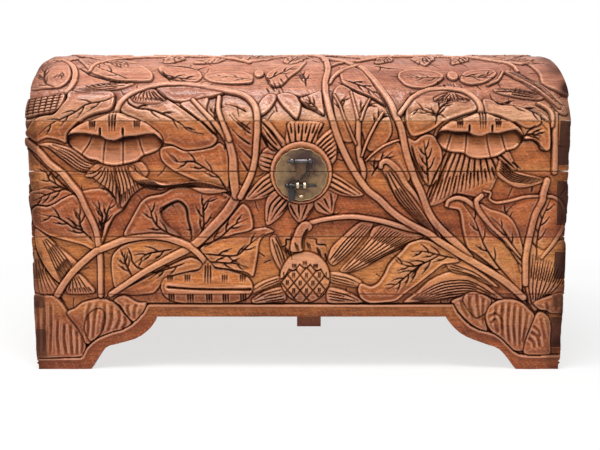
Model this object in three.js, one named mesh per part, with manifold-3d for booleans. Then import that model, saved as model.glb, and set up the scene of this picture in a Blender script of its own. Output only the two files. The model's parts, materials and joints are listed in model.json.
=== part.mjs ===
// A carved hardwood chest with a hinged barrel-top lid, a plinth of bracket feet and a brass hasp
// that a sliding pin locks. Lengths are in millimetres and angles in degrees.
// While it is put together, x runs to the right, y runs back from the front face and z runs up from
// the floor. The last lines move it along y, so that the middle of its whole depth is at y = 0.
import * as THREE from "three";
import { mergeVertices } from "three/addons/utils/BufferGeometryUtils.js";
import Module from "manifold-3d";

const wasm = await Module();
wasm.setup();

// The case: outer sizes, and the heights of the rows of boards that it is built from.
const chestWidth = 1000;
const chestDepth = 504;
const plinthHeight = 147;
const lowerBoardHeight = 109;
const upperBoardHeight = 122;
const lidRailHeight = 92;
const frontThickness = 26;
const endThickness = 22;
const backThickness = 24;
const glueGap = 0.3; // between two faces that are glued or that lie on each other
const lidGap = 1.2; // the open seam between the lid and the chest

// The vaulted lid: half of its section is one curve from the rail up to the crown.
const lidRise = 137;
const springAngle = 68; // how steeply the curve leaves the rail
const springReach = 75; // how far the curve holds that slope
const crownReach = 140; // how far the curve stays level at the crown
const staveThickness = 20;
const staveCount = 6;
const staveSteps = 4; // flat steps across each stave

// The fingers of the end boards that show on the front and back, in heights above each row's foot.
const plinthFingers = {
  left: [[26, 80], [121, plinthHeight]],
  right: [[42, 102], [123, plinthHeight]],
};
const lowerFingers = [[28, lowerBoardHeight - 28]];
const upperFingers = [[22, upperBoardHeight - 18]];
const lidFingers = [[11, lidRailHeight]];

// The plinth's cut-outs: each foot's outline, as distances from the corner and heights.
const archHeight = 103;
const leftFoot = [[104, 0], [132, 41], [156, 50], [195, 62], [222, 84], [231, archHeight]];
const rightFoot = [[85, 0], [116, 38], [146, 50], [187, 67], [211, 88], [221, archHeight]];
const sideFoot = [[84, 0], [106, 41], [126, 50], [156, 62], [178, 84], [185, archHeight]];
const footSteps = 14;

// The bottom: boards that run from end to end on a ledger at each end and a batten in the middle.
const bottomThickness = 15;
const bottomBoardCount = 3;
const ledgerWidth = 20;
const ledgerHeight = 20;
const battenWidth = 46;
const battenHeight = 56;
const battenOffset = 20;
const battenSetback = 8;

// The lid's carving in its main forms: how deep the ground and the leaves lie below the stems. The
// stems' middle lines and the leaves' feet and tips are distances across the lid from its middle
// and up its curve from the rail. The back half repeats them, turned about the crown.
const groundDepth = 5.2;
const leafDepth = 2.4;
const lidStemWidth = 15;
const lidStems = [
  [[51, 0], [55, 60], [52, 120], [52, 180], [36, 240], [0, 304]],
  [[184, 0], [160, 62], [128, 130], [98, 172], [52, 210]],
  [[-75, 0], [-88, 48], [-149, 73], [-233, 88], [-301, 68], [-334, 14]],
  [[185, 14], [207, 48], [263, 74], [320, 58], [334, 12]],
  [[-430, 62], [-423, 98], [-440, 158], [-479, 190]],
  [[389, 131], [438, 78], [478, 28]],
  [[-96, 176], [-160, 222], [-240, 236], [-330, 216], [-392, 170]],
  [[115, 183], [180, 226], [260, 238], [346, 216], [410, 166]],
];
const lidLeaves = [
  { foot: [-240, 84], tip: [-178, 10], width: 44, bend: 8 },
  { foot: [200, 40], tip: [290, 10], width: 58, bend: 8 },
  { foot: [345, 40], tip: [440, 16], width: 50, bend: 8 },
  { foot: [-345, 30], tip: [-468, 52], width: 52, bend: 10 },
  { foot: [262, 92], tip: [186, 122], width: 44, bend: 8 },
  { foot: [-110, 190], tip: [-20, 236], width: 50, bend: 10 },
  { foot: [150, 214], tip: [62, 262], width: 50, bend: -10 },
  { foot: [-330, 220], tip: [-456, 262], width: 58, bend: 12 },
  { foot: [346, 220], tip: [462, 268], width: 58, bend: -12 },
];
const lidRosettes = [-250, 250]; // across, on the crown
const rosetteRadius = 60;
const rosetteKnob = 17;
const knobSides = 10;
const petalCount = 8;
const petalNotch = 0.62; // how deep the notches between the petals reach, as a share of the radius
const leafSteps = 4; // flat steps along each side of a leaf
const leafPeak = 0.72; // below 1 a leaf is widest nearer its foot
const leafFullness = 0.75; // below 1 its sides are fuller
const stemSteps = 6; // flat steps along each side of a stem

// The same forms on the lid's ends, as distances from the middle of the depth and heights.
const gableStem = [[-118, 380], [-156, 408], [-160, 450], [-128, 500], [-72, 548], [-16, 576]];
const gableLeaves = [
  { foot: [-62, 396], tip: [-134, 524], width: 56, bend: 12 },
  { foot: [-128, 390], tip: [-206, 474], width: 60, bend: -12 },
  { foot: [-12, 536], tip: [-52, 572], width: 30, bend: 6 },
];
const gableRosetteHeight = 470;

// The butt hinges, let into the back edges, which are bevelled behind the pin to stop the lid.
const lidOpening = 105;
const bevelInset = 8; // from the back face in to the hinge pin
const stopClearance = 1; // degrees that the bevels leave beyond the lid's travel
const hingeLength = 76;
const hingeInset = 170; // from each end of the chest in to the middle of its hinge
const knuckleCount = 5;
const knuckleRadius = 4.2;
const knuckleGap = 0.4;
const hingePinRadius = 1.5;
const hingePinPlay = 0.3;
const leafThickness = 2.2;
const leafWidth = 15;
const leafGap = 0.5; // between the two closed leaves
const screwSpacing = 26;
const screwsPerLeaf = 3;
const screwInset = 6.2; // from a leaf's front edge to its screws
const screwHeadRadius = 3;
const screwHeadDepth = 1.7;
const screwShankRadius = 1.5;
const screwLength = 15;
const screwSlotWidth = 0.7;
const screwSlotDepth = 0.6;
const screwClearance = 0.3;

// The lock plate: a scalloped brass disc cut through at the lid's seam, in a round seat.
const lockOffset = 5; // from the middle of the chest to the right
const plateDrop = 6; // from the seam down to the disc's centre
const plateRadius = 49;
const plateThickness = 1.6;
const scallopCount = 16;
const scallopDepth = 1.7;
const scallopSteps = 6;
const seatDepth = 3;
const seatMargin = 1;

// The hasp and the two ball-headed eyes that its pivot turns in.
const pivotRise = 19; // from the seam up to the pivot
const pivotStandoff = 5.9; // from the plate's face out to the pivot
const pivotRadius = 1.9;
const pivotLength = 48;
const pivotCapRadius = 3.2;
const pivotCapLength = 2.6;
const eyeSpacing = 33;
const eyeRadius = 5.4;
const eyeShankRadius = 2.4;
const shankDepth = 12; // how far eyes and staples are driven into the wood
const haspPlay = 0.3;
const haspEndPlay = 0.4;
const haspBarrelRadius = 3.9;
const haspThickness = 2;
const haspLength = 67;
const haspNeckHalf = 8.5;
const haspWaistHalf = 12.5;
const haspTipHalf = 5;
const haspLipRadius = 2.5;

// The two staples that come through the hasp, and the pin that slides through them.
const pinDrop = 44.5; // from the pivot down to the pin
const pinRadius = 2.2;
const pinReach = 28.7; // from the middle of the lock to the pin's right end
const pinPlay = 0.3;
const stapleSpacing = 12.7;
const stapleWidth = 5;
const stapleThickness = 1.8;
const stapleHalfHeight = 6.5;
const slotPlay = 0.9;
const collarRadius = 3.4;
const collarStart = 13;
const neckStart = 17;
const neckRadius = 2.4;
const headStart = 21;
const headRadius = 4.6;

// The fish-shaped drop on the pin's neck, and the chain that ties the pin to the right eye.
const dropThickness = 4;
const dropEyeRadius = 4.9;
const dropLength = 30;
const dropHalfWidth = 7.2;
const dropPlay = 0.3;
const chainRadius = 0.9;
const chainClearance = 1.3;

// Places that follow from those sizes.
const halfWidth = chestWidth / 2;
const lowerTop = plinthHeight + lowerBoardHeight;
const seam = lowerTop + upperBoardHeight;
const railTop = seam + lidRailHeight;
const caseTop = seam - lidGap / 2;
const lidBottom = seam + lidGap / 2;
const innerFront = frontThickness + glueGap;
const innerBack = chestDepth - backThickness - glueGap;
const innerEnd = halfWidth - endThickness - glueGap;
const hingeY = chestDepth - bevelInset;
const plateFace = seatDepth - glueGap - plateThickness;
const plateCentre = seam - plateDrop;
const pivotY = plateFace - pivotStandoff;
const pivotZ = seam + pivotRise;
const haspBack = pivotY + haspBarrelRadius;
const haspFront = haspBack - haspThickness;
const pinY = haspFront - pinPlay - pinRadius;
const pinZ = pivotZ - pinDrop;
const stapleFront = pinY - pinRadius - pinPlay - stapleThickness;
const beyond = 50; // how far a cutting block runs past what it cuts
const roundSides = 16;
const ballRings = 10;
const seatSides = 64;

// Finishes.
const redWood = { color: 0x8e4a2a, roughness: 0.45, metalness: 0 };
const goldWood = { color: 0xa9642f, roughness: 0.45, metalness: 0 };
const plainWood = { color: 0x9c6b42, roughness: 0.7, metalness: 0 };
const brass = { color: 0x8a714a, roughness: 0.42, metalness: 0.9 };
const brightBrass = { color: 0xcaa765, roughness: 0.3, metalness: 0.95 };
const darkMetal = { color: 0x34312f, roughness: 0.4, metalness: 0.85 };

const chest = new THREE.Group();

// Solids: three.js shapes that become closed bodies for cutting and joining.
function solid(geometry) {
  const bare = geometry.index ? geometry.toNonIndexed() : geometry.clone();
  bare.deleteAttribute("normal");
  bare.deleteAttribute("uv");
  const merged = mergeVertices(bare, 1e-4);
  return new wasm.Manifold(new wasm.Mesh({
    numProp: 3,
    vertProperties: new Float32Array(merged.attributes.position.array),
    triVerts: new Uint32Array(merged.index.array),
  }));
}

function block(x0, x1, y0, y1, z0, z1) {
  const box = new THREE.BoxGeometry(x1 - x0, y1 - y0, z1 - z0);
  return solid(box.translate((x0 + x1) / 2, (y0 + y1) / 2, (z0 + z1) / 2));
}

function outline(points) {
  return new THREE.Shape(points.map(([u, v]) => new THREE.Vector2(u, v)));
}

// A shape drawn in x and z, made solid from y0 back to y1.
function slabY(shape, y0, y1) {
  const slab = new THREE.ExtrudeGeometry(shape, { depth: y1 - y0, bevelEnabled: false, curveSegments: 16 });
  return solid(slab.rotateX(Math.PI / 2).translate(0, y1, 0));
}

// A shape drawn in y and z, made solid from x0 to x1.
function slabX(shape, x0, x1) {
  const slab = new THREE.ExtrudeGeometry(shape, { depth: x1 - x0, bevelEnabled: false, curveSegments: 16 });
  const turn = new THREE.Matrix4().makeBasis(
    new THREE.Vector3(0, 1, 0),
    new THREE.Vector3(0, 0, 1),
    new THREE.Vector3(1, 0, 0),
  );
  return solid(slab.applyMatrix4(turn).translate(x0, 0, 0));
}

// A round rod along x.
function rodX(radius, x0, x1, y, z, sides = roundSides) {
  const rod = new THREE.CylinderGeometry(radius, radius, x1 - x0, sides);
  return solid(rod.rotateZ(Math.PI / 2).translate((x0 + x1) / 2, y, z));
}

// A round rod along y.
function rodY(radius, y0, y1, x, z, sides = roundSides) {
  const rod = new THREE.CylinderGeometry(radius, radius, y1 - y0, sides);
  return solid(rod.translate(x, (y0 + y1) / 2, z));
}

// A turned piece: its profile is pairs of radius and distance along the axis, from axis to axis.
function turned(profile, sides) {
  return new THREE.LatheGeometry(profile.map(([r, along]) => new THREE.Vector2(r, along)), sides);
}

function place(name, body, finish) {
  const { vertProperties, triVerts } = body.getMesh();
  const geometry = new THREE.BufferGeometry();
  geometry.setAttribute("position", new THREE.BufferAttribute(new Float32Array(vertProperties), 3));
  geometry.setIndex(new THREE.BufferAttribute(new Uint32Array(triVerts), 1));
  geometry.computeVertexNormals();
  const piece = new THREE.Mesh(geometry, new THREE.MeshStandardMaterial(finish));
  piece.name = name;
  chest.add(piece);
}

// Rows of boards. Each row knows its foot, its top and the end boards' fingers at each side.
function row(foot, top, lowFace, highFace, fingers) {
  const lifted = (list) => list.map(([low, high]) => [foot + low, foot + high]);
  const sides = Array.isArray(fingers) ? { left: fingers, right: fingers } : fingers;
  return { low: lowFace, high: highFace, top, foot, left: lifted(sides.left), right: lifted(sides.right) };
}

const half = glueGap / 2;
const plinthRow = row(0, plinthHeight, 0, plinthHeight - half, plinthFingers);
const lowerRow = row(plinthHeight, lowerTop, plinthHeight + half, lowerTop - half, lowerFingers);
const upperRow = row(lowerTop, seam, lowerTop + half, caseTop, upperFingers);
const lidRow = row(seam, railTop, lidBottom, railTop - half, lidFingers);

// The parts of a row's height that belong to the front and back boards.
function betweenFingers(tier, side) {
  const spans = [];
  let from = tier.foot - beyond;
  for (const [low, high] of tier[side]) {
    if (low > tier.foot) spans.push([from, low]);
    from = high;
  }
  if (from < tier.top) spans.push([from, tier.top + beyond]);
  return spans;
}

// A front or back board loses the end boards' fingers at both of its ends.
function cutFaceBoard(body, tier) {
  for (const [side, sign] of [["left", -1], ["right", 1]]) {
    for (const [low, high] of tier[side]) {
      const reach = high >= tier.top ? beyond : half;
      const [x0, x1] = [sign * innerEnd, sign * (halfWidth + beyond)].sort((a, b) => a - b);
      body = body.subtract(block(x0, x1, -beyond, chestDepth + beyond, low - half, high + reach));
    }
  }
  return body;
}

// An end board keeps only its fingers where it crosses the front and back boards.
function cutEndBoard(body, tier, side) {
  const wide = halfWidth + beyond;
  for (const [low, high] of betweenFingers(tier, side)) {
    body = body.subtract(block(-wide, wide, -beyond, innerFront, low - half, high + half));
    body = body.subtract(block(-wide, wide, innerBack, chestDepth + beyond, low - half, high + half));
  }
  return body;
}

function faceBoard(tier, y0, y1) {
  return cutFaceBoard(block(-halfWidth, halfWidth, y0, y1, tier.low, tier.high), tier);
}

function endSpan(side) {
  return side === "left" ? [-halfWidth, -halfWidth + endThickness] : [halfWidth - endThickness, halfWidth];
}

function endBoard(tier, side) {
  const [x0, x1] = endSpan(side);
  return cutEndBoard(block(x0, x1, 0, chestDepth, tier.low, tier.high), tier, side);
}

// The bevel behind the hinge pin, on the lid (up) or on the chest (down).
function stopBevel(direction) {
  const slope = Math.tan(THREE.MathUtils.degToRad((lidOpening + stopClearance) / 2));
  const face = seam + direction * lidGap / 2;
  const reach = bevelInset + beyond;
  const wedge = outline([
    [hingeY, face - direction * beyond],
    [hingeY + reach, face - direction * beyond],
    [hingeY + reach, face + direction * reach * slope],
    [hingeY, face],
  ]);
  return slabX(wedge, -halfWidth - beyond, halfWidth + beyond);
}

// Plinth boards with the arch between two feet. The spline gives each foot its ogee.
function footCurve(foot, corner, sign) {
  const curve = new THREE.SplineCurve(foot.map(([d, z]) => new THREE.Vector2(corner + sign * d, z)));
  return curve.getPoints(footSteps).map((p) => [p.x, p.y]);
}

function archedOutline(low, high, lowFoot, highFoot, top) {
  const left = footCurve(lowFoot, low, 1);
  const right = footCurve(highFoot, high, -1).reverse();
  return outline([[low, 0], ...left, ...right, [high, 0], [high, top], [low, top]]);
}

function plinthFace(y0, y1) {
  const board = slabY(archedOutline(-halfWidth, halfWidth, leftFoot, rightFoot, plinthRow.high), y0, y1);
  return cutFaceBoard(board, plinthRow);
}

function plinthEnd(side) {
  const [x0, x1] = endSpan(side);
  const board = slabX(archedOutline(0, chestDepth, sideFoot, sideFoot, plinthRow.high), x0, x1);
  return cutEndBoard(board, plinthRow, side);
}

place("plinth_front", plinthFace(0, frontThickness), redWood);
place("plinth_back", plinthFace(chestDepth - backThickness, chestDepth), redWood);
place("plinth_left", plinthEnd("left"), redWood);
place("plinth_right", plinthEnd("right"), redWood);

// Bottom boards lie between the plinth boards, on the two ledgers and the batten.
const bottomTop = plinthHeight - half;
const bottomUnder = bottomTop - bottomThickness;
const bottomDepth = innerBack - innerFront;
const bottomStep = (bottomDepth + glueGap) / bottomBoardCount;
for (let i = 0; i < bottomBoardCount; i += 1) {
  const y0 = innerFront + i * bottomStep;
  const board = block(-innerEnd, innerEnd, y0, y0 + bottomStep - glueGap, bottomUnder, bottomTop);
  place(`bottom_board_${i + 1}`, board, plainWood);
}
const ledgerTop = bottomUnder - glueGap;
for (const [side, sign] of [["left", -1], ["right", 1]]) {
  const [x0, x1] = [sign * innerEnd, sign * (innerEnd - ledgerWidth)].sort((a, b) => a - b);
  const ledger = block(x0, x1, innerFront, innerBack, ledgerTop - ledgerHeight, ledgerTop);
  place(`ledger_${side}`, ledger, plainWood);
}
place("centre_batten", block(
  battenOffset - battenWidth / 2,
  battenOffset + battenWidth / 2,
  frontThickness + battenSetback,
  chestDepth - backThickness - battenSetback,
  ledgerTop - battenHeight,
  ledgerTop,
), plainWood);

// Hinges. A leaf lies in the top edge of the back board, and its twin under the lid's back rail.
const hingeMiddles = [["left", hingeInset - halfWidth], ["right", halfWidth - hingeInset]];
const knuckleStep = hingeLength / knuckleCount;

function knuckles(middle, parity, radius, gap) {
  let all = null;
  for (let i = parity; i < knuckleCount; i += 2) {
    const x0 = middle - hingeLength / 2 + i * knuckleStep;
    const one = rodX(radius, x0 + gap, x0 + knuckleStep - gap, hingeY, seam);
    all = all ? all.add(one) : one;
  }
  return all;
}

function leafBlock(middle, direction, margin) {
  const z = [seam + direction * (leafGap / 2 - margin), seam + direction * (leafGap / 2 + leafThickness + margin)];
  const [z0, z1] = z.sort((a, b) => a - b);
  const long = hingeLength / 2 + margin;
  return block(middle - long, middle + long, hingeY - leafWidth - margin, hingeY + margin, z0, z1);
}

function screwPlaces(middle) {
  const places = [];
  for (let i = 0; i < screwsPerLeaf; i += 1) {
    places.push(middle + (i - (screwsPerLeaf - 1) / 2) * screwSpacing);
  }
  return places;
}

// A countersunk screw that points away from the seam, with a margin all round for its hole.
function screwBody(x, direction, margin) {
  const head = margin > 0 ? -margin : 0;
  const profile = turned([
    [0, head],
    [screwHeadRadius + margin, head],
    [screwHeadRadius + margin, 0.3],
    [screwShankRadius + margin, screwHeadDepth],
    [screwShankRadius + margin, screwLength - 3 + margin],
    [0, screwLength + margin],
  ], 12);
  const turn = direction < 0 ? -Math.PI / 2 : Math.PI / 2;
  const start = seam + direction * (leafGap / 2 + screwClearance);
  return solid(profile.rotateX(turn).translate(x, hingeY - leafWidth + screwInset, start));
}

function hingeLeaf(middle, direction, parity) {
  const plain = leafBlock(middle, direction, 0);
  const notched = plain.subtract(knuckles(middle, 1 - parity, knuckleRadius + knuckleGap, -knuckleGap / 2));
  let leaf = notched.add(knuckles(middle, parity, knuckleRadius, knuckleGap / 2));
  const long = hingeLength / 2 + beyond;
  leaf = leaf.subtract(rodX(hingePinRadius + hingePinPlay, middle - long, middle + long, hingeY, seam));
  for (const x of screwPlaces(middle)) leaf = leaf.subtract(screwBody(x, direction, screwClearance));
  return leaf;
}

// What a board loses to one hinge: the leaf's mortise, room for the knuckles, and screw holes.
function cutForHinges(body, direction) {
  for (const [, middle] of hingeMiddles) {
    const long = hingeLength / 2 + glueGap;
    body = body.subtract(leafBlock(middle, direction, glueGap));
    body = body.subtract(rodX(knuckleRadius + knuckleGap, middle - long, middle + long, hingeY, seam));
    for (const x of screwPlaces(middle)) body = body.subtract(screwBody(x, direction, screwClearance));
  }
  return body;
}

for (const [side, middle] of hingeMiddles) {
  place(`hinge_leaf_chest_${side}`, hingeLeaf(middle, -1, 0), brass);
  place(`hinge_leaf_lid_${side}`, hingeLeaf(middle, 1, 1), brass);
  const pin = rodX(hingePinRadius, middle - hingeLength / 2, middle + hingeLength / 2, hingeY, seam);
  place(`hinge_pin_${side}`, pin, brass);
  for (const [part, direction] of [["chest", -1], ["lid", 1]]) {
    screwPlaces(middle).forEach((x, i) => {
      const start = seam + direction * (leafGap / 2 + screwClearance);
      const ends = [start - direction * beyond, start + direction * screwSlotDepth].sort((a, b) => a - b);
      const y = hingeY - leafWidth + screwInset;
      const wide = screwHeadRadius + beyond;
      const slot = block(x - wide, x + wide, y - screwSlotWidth / 2, y + screwSlotWidth / 2, ends[0], ends[1]);
      place(`screw_${part}_${side}_${i + 1}`, screwBody(x, direction, 0).subtract(slot), brass);
    });
  }
}

// Lock. The scalloped disc, drawn in x and z about the middle of the lock.
function scallopedDisc() {
  const points = [];
  const steps = scallopCount * scallopSteps;
  for (let i = 0; i < steps; i += 1) {
    const angle = (2 * Math.PI * i) / steps;
    const lobe = Math.abs(Math.cos((angle * scallopCount) / 2));
    const radius = plateRadius - scallopDepth * (1 - lobe);
    points.push([lockOffset + radius * Math.sin(angle), plateCentre + radius * Math.cos(angle)]);
  }
  return outline(points.reverse());
}

const eyes = [["left", lockOffset - eyeSpacing / 2], ["right", lockOffset + eyeSpacing / 2]];
const staples = [["left", lockOffset - stapleSpacing / 2], ["right", lockOffset + stapleSpacing / 2]];
const shankEnd = seatDepth + shankDepth;

// A staple is a strip bent to a round-fronted loop, with its two legs driven into the wood.
function stapleBody(x, margin) {
  const outer = stapleHalfHeight + margin;
  const inner = stapleHalfHeight - stapleThickness - margin;
  const bend = stapleFront + stapleHalfHeight;
  const loop = new THREE.Shape();
  loop.moveTo(shankEnd + margin, pinZ - outer);
  loop.lineTo(shankEnd + margin, pinZ - inner);
  loop.lineTo(bend, pinZ - inner);
  loop.absarc(bend, pinZ, inner, -Math.PI / 2, Math.PI / 2, true);
  loop.lineTo(shankEnd + margin, pinZ + inner);
  loop.lineTo(shankEnd + margin, pinZ + outer);
  loop.lineTo(bend, pinZ + outer);
  loop.absarc(bend, pinZ, outer, Math.PI / 2, -Math.PI / 2, false);
  return slabX(loop, x - stapleWidth / 2 - margin, x + stapleWidth / 2 + margin);
}

function eyeShank(x, margin) {
  return rodY(eyeShankRadius + margin, pivotY, shankEnd + margin, x, pivotZ);
}

// Eyes and staples pass through the plates and into the boards behind them.
function cutForLock(body) {
  for (const [, x] of eyes) body = body.subtract(eyeShank(x, glueGap));
  for (const [, x] of staples) body = body.subtract(stapleBody(x, glueGap));
  return body;
}

function cutSeat(body) {
  const seat = rodY(plateRadius + seatMargin, -beyond, seatDepth, lockOffset, plateCentre, seatSides);
  return cutForLock(body.subtract(seat));
}

const disc = slabY(scallopedDisc(), plateFace, plateFace + plateThickness);
const wideX = halfWidth + beyond;
const aboveSeam = block(-wideX, wideX, -beyond, beyond, lidBottom, railTop);
const belowSeam = block(-wideX, wideX, -beyond, beyond, 0, caseTop);
place("lock_plate_upper", cutForLock(disc.intersect(aboveSeam)), brass);
place("lock_plate_lower", cutForLock(disc.intersect(belowSeam)), brass);
for (const [side, x] of staples) place(`staple_${side}`, stapleBody(x, 0), brightBrass);
for (const [side, x] of eyes) {
  const ball = solid(new THREE.SphereGeometry(eyeRadius, roundSides, ballRings).translate(x, pivotY, pivotZ));
  const bore = rodX(pivotRadius + haspPlay, x - beyond, x + beyond, pivotY, pivotZ);
  place(`hasp_eye_${side}`, ball.add(eyeShank(x, 0)).subtract(bore), darkMetal);
}
const pivotHalf = pivotLength / 2;
place("hasp_pivot", solid(turned([
  [0, -pivotHalf],
  [pivotCapRadius * 0.7, -pivotHalf],
  [pivotCapRadius, -pivotHalf + 0.8],
  [pivotCapRadius, -pivotHalf + pivotCapLength - 0.6],
  [pivotRadius, -pivotHalf + pivotCapLength],
  [pivotRadius, pivotHalf - pivotCapLength],
  [pivotCapRadius, pivotHalf - pivotCapLength + 0.6],
  [pivotCapRadius, pivotHalf - 0.8],
  [pivotCapRadius * 0.7, pivotHalf],
  [0, pivotHalf],
], roundSides).rotateZ(-Math.PI / 2).translate(lockOffset, pivotY, pivotZ)), darkMetal);

// The hasp: a barrel on the pivot, a flap with a slot for both staples, and a lip to lift it by.
const slotHalfWidth = stapleSpacing / 2 + stapleWidth / 2 + slotPlay;
const slotHalfHeight = stapleHalfHeight + slotPlay;
const flapTurn = 8; // height over which the flap widens and narrows around its slot
const flapSide = [
  [haspNeckHalf, 0],
  [haspNeckHalf, slotHalfHeight + 2 * flapTurn - pinDrop],
  [haspWaistHalf, slotHalfHeight + flapTurn / 2 - pinDrop],
  [haspWaistHalf, -slotHalfHeight - pinDrop],
  [haspTipHalf, 2 * haspLipRadius - haspLength],
].map(([x, z]) => [x, z < -haspLength ? -haspLength : z]);
const flapLeft = flapSide.map(([x, z]) => [lockOffset - x, pivotZ + z]);
const flapRight = flapSide.map(([x, z]) => [lockOffset + x, pivotZ + z]).reverse();
const barrelHalf = eyeSpacing / 2 - eyeRadius - haspEndPlay;
const lipZ = pivotZ - haspLength + haspLipRadius;
const tipTo = [[lockOffset - haspTipHalf, lipZ], [lockOffset + haspTipHalf, lipZ]];
const flap = slabY(outline([...flapLeft, ...tipTo, ...flapRight]), haspFront, haspBack);
const barrel = rodX(haspBarrelRadius, lockOffset - barrelHalf, lockOffset + barrelHalf, pivotY, pivotZ);
const lip = rodX(haspLipRadius, lockOffset - haspTipHalf, lockOffset + haspTipHalf, haspBack - haspLipRadius, lipZ);
const slot = block(
  lockOffset - slotHalfWidth,
  lockOffset + slotHalfWidth,
  haspFront - beyond,
  haspBack + beyond,
  pinZ - slotHalfHeight,
  pinZ + slotHalfHeight,
);
const haspBore = rodX(pivotRadius + haspPlay, lockOffset - beyond, lockOffset + beyond, pivotY, pivotZ);
place("hasp", flap.add(barrel).add(lip).subtract(slot).subtract(haspBore), darkMetal);

// The pin, turned from one rod: a plain end, a collar, a neck for the drop, and a round head.
const headMiddle = headStart + headRadius;
const headProfile = [];
for (let i = 1; i <= 8; i += 1) {
  const angle = (Math.PI * i) / 9;
  headProfile.push([headRadius * Math.sin(angle), -headMiddle + headRadius * Math.cos(angle)]);
}
place("lock_pin", solid(turned([
  [0, pinReach],
  [pinRadius * 0.7, pinReach],
  [pinRadius, pinReach - 0.8],
  [pinRadius, -collarStart],
  [collarRadius, -collarStart - 0.6],
  [collarRadius, -neckStart + 0.6],
  [neckRadius, -neckStart],
  [neckRadius, -headStart - 0.6],
  ...headProfile.filter(([r, along]) => along < -headStart - 0.6 && r > 0.5),
  [0, -headMiddle - headRadius],
].reverse(), roundSides).rotateZ(-Math.PI / 2).translate(lockOffset, pinY, pinZ)), darkMetal);

// The drop, a small fish: a round eye on the pin's neck, a body, and a forked tail below.
const neckMiddle = lockOffset - (neckStart + headStart) / 2;
const dropMiddle = neckMiddle + 2;
const dropEyeHalf = (headStart - neckStart) / 2 - dropPlay;
const dropTop = collarRadius + dropPlay * 2;
const dropShape = new THREE.Shape();
const tailTop = pinZ - dropLength * 0.8;
const tailEnd = pinZ - dropLength;
dropShape.moveTo(neckMiddle - dropEyeHalf, pinZ - dropTop);
dropShape.quadraticCurveTo(
  dropMiddle - dropHalfWidth * 1.2,
  pinZ - dropLength * 0.3,
  dropMiddle - dropHalfWidth * 0.6,
  tailTop,
);
dropShape.lineTo(dropMiddle - dropHalfWidth, tailEnd);
dropShape.lineTo(dropMiddle, tailEnd + dropLength * 0.08);
dropShape.lineTo(dropMiddle + dropHalfWidth, tailEnd);
dropShape.lineTo(dropMiddle + dropHalfWidth * 0.6, tailTop);
dropShape.quadraticCurveTo(
  dropMiddle + dropHalfWidth * 1.2,
  pinZ - dropLength * 0.3,
  neckMiddle + dropEyeHalf,
  pinZ - dropTop,
);
const dropBody = slabY(dropShape, pinY - dropThickness / 2, pinY + dropThickness / 2);
const dropEye = rodX(dropEyeRadius, neckMiddle - dropEyeHalf, neckMiddle + dropEyeHalf, pinY, pinZ);
const dropBore = rodX(neckRadius + dropPlay, neckMiddle - beyond, neckMiddle + beyond, pinY, pinZ);
const roundRoom = rodX(collarRadius + dropPlay, neckMiddle + dropEyeHalf, neckMiddle + beyond, pinY, pinZ);
const headRoom = solid(new THREE.SphereGeometry(headRadius + dropPlay, roundSides, ballRings)
  .translate(lockOffset - headMiddle, pinY, pinZ));
place("pin_drop", dropBody.add(dropEye).subtract(dropBore).subtract(roundRoom).subtract(headRoom), darkMetal);

// The chain's line: from under the right eye, down across the hasp, then along above the pin.
const chainY = haspFront - chainClearance - chainRadius;
const chainLow = stapleHalfHeight + chainClearance + chainRadius;
const chainPoints = [
  [eyeSpacing / 2, pinDrop - eyeRadius - chainRadius - haspEndPlay],
  [11.5, 28],
  [5, 18],
  [-2, chainLow + 2.4],
  [-10, chainLow],
  [-17, chainLow],
  [-headMiddle + 2, chainLow],
].map(([x, z]) => new THREE.Vector3(lockOffset + x, chainY, pinZ + z));
const ring = new THREE.Shape();
ring.absarc(0, 0, chainRadius, 0, 2 * Math.PI, false);
place("tether_chain", solid(new THREE.ExtrudeGeometry(ring, {
  extrudePath: new THREE.CatmullRomCurve3(chainPoints),
  steps: 18,
  curveSegments: 4,
  bevelEnabled: false,
})), darkMetal);

// Case boards, in two rows.
place("front_board_lower", faceBoard(lowerRow, 0, frontThickness), goldWood);
place("front_board_upper", cutSeat(faceBoard(upperRow, 0, frontThickness)), redWood);
place("back_board_lower", faceBoard(lowerRow, chestDepth - backThickness, chestDepth), redWood);
const backUpper = faceBoard(upperRow, chestDepth - backThickness, chestDepth).subtract(stopBevel(-1));
place("back_board_upper", cutForHinges(backUpper, -1), redWood);
for (const side of ["left", "right"]) {
  place(`end_board_lower_${side}`, endBoard(lowerRow, side), redWood);
  place(`end_board_upper_${side}`, endBoard(upperRow, side).subtract(stopBevel(-1)), redWood);
}

// Lid. Its section is the spring-to-crown curve and its mirror image, measured along its length.
const spring = THREE.MathUtils.degToRad(springAngle);
const frontHalf = new THREE.CubicBezierCurve(
  new THREE.Vector2(0, railTop),
  new THREE.Vector2(springReach * Math.cos(spring), railTop + springReach * Math.sin(spring)),
  new THREE.Vector2(chestDepth / 2 - crownReach, railTop + lidRise),
  new THREE.Vector2(chestDepth / 2, railTop + lidRise),
);
const halfLength = frontHalf.getLength();

// A point of the section, at a distance along it from the front, moved in by a depth.
function sectionPoint(along, depth) {
  const mirrored = along > halfLength;
  const u = Math.min(Math.max((mirrored ? 2 * halfLength - along : along) / halfLength, 0), 1);
  const p = frontHalf.getPointAt(u);
  const t = frontHalf.getTangentAt(u);
  const y = p.x + t.y * depth;
  const z = p.y - t.x * depth;
  return [mirrored ? chestDepth - y : y, z];
}

function sectionLine(from, to, depth, steps) {
  const points = [];
  for (let i = 0; i <= steps; i += 1) points.push(sectionPoint(from + ((to - from) * i) / steps, depth));
  return points;
}

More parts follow.
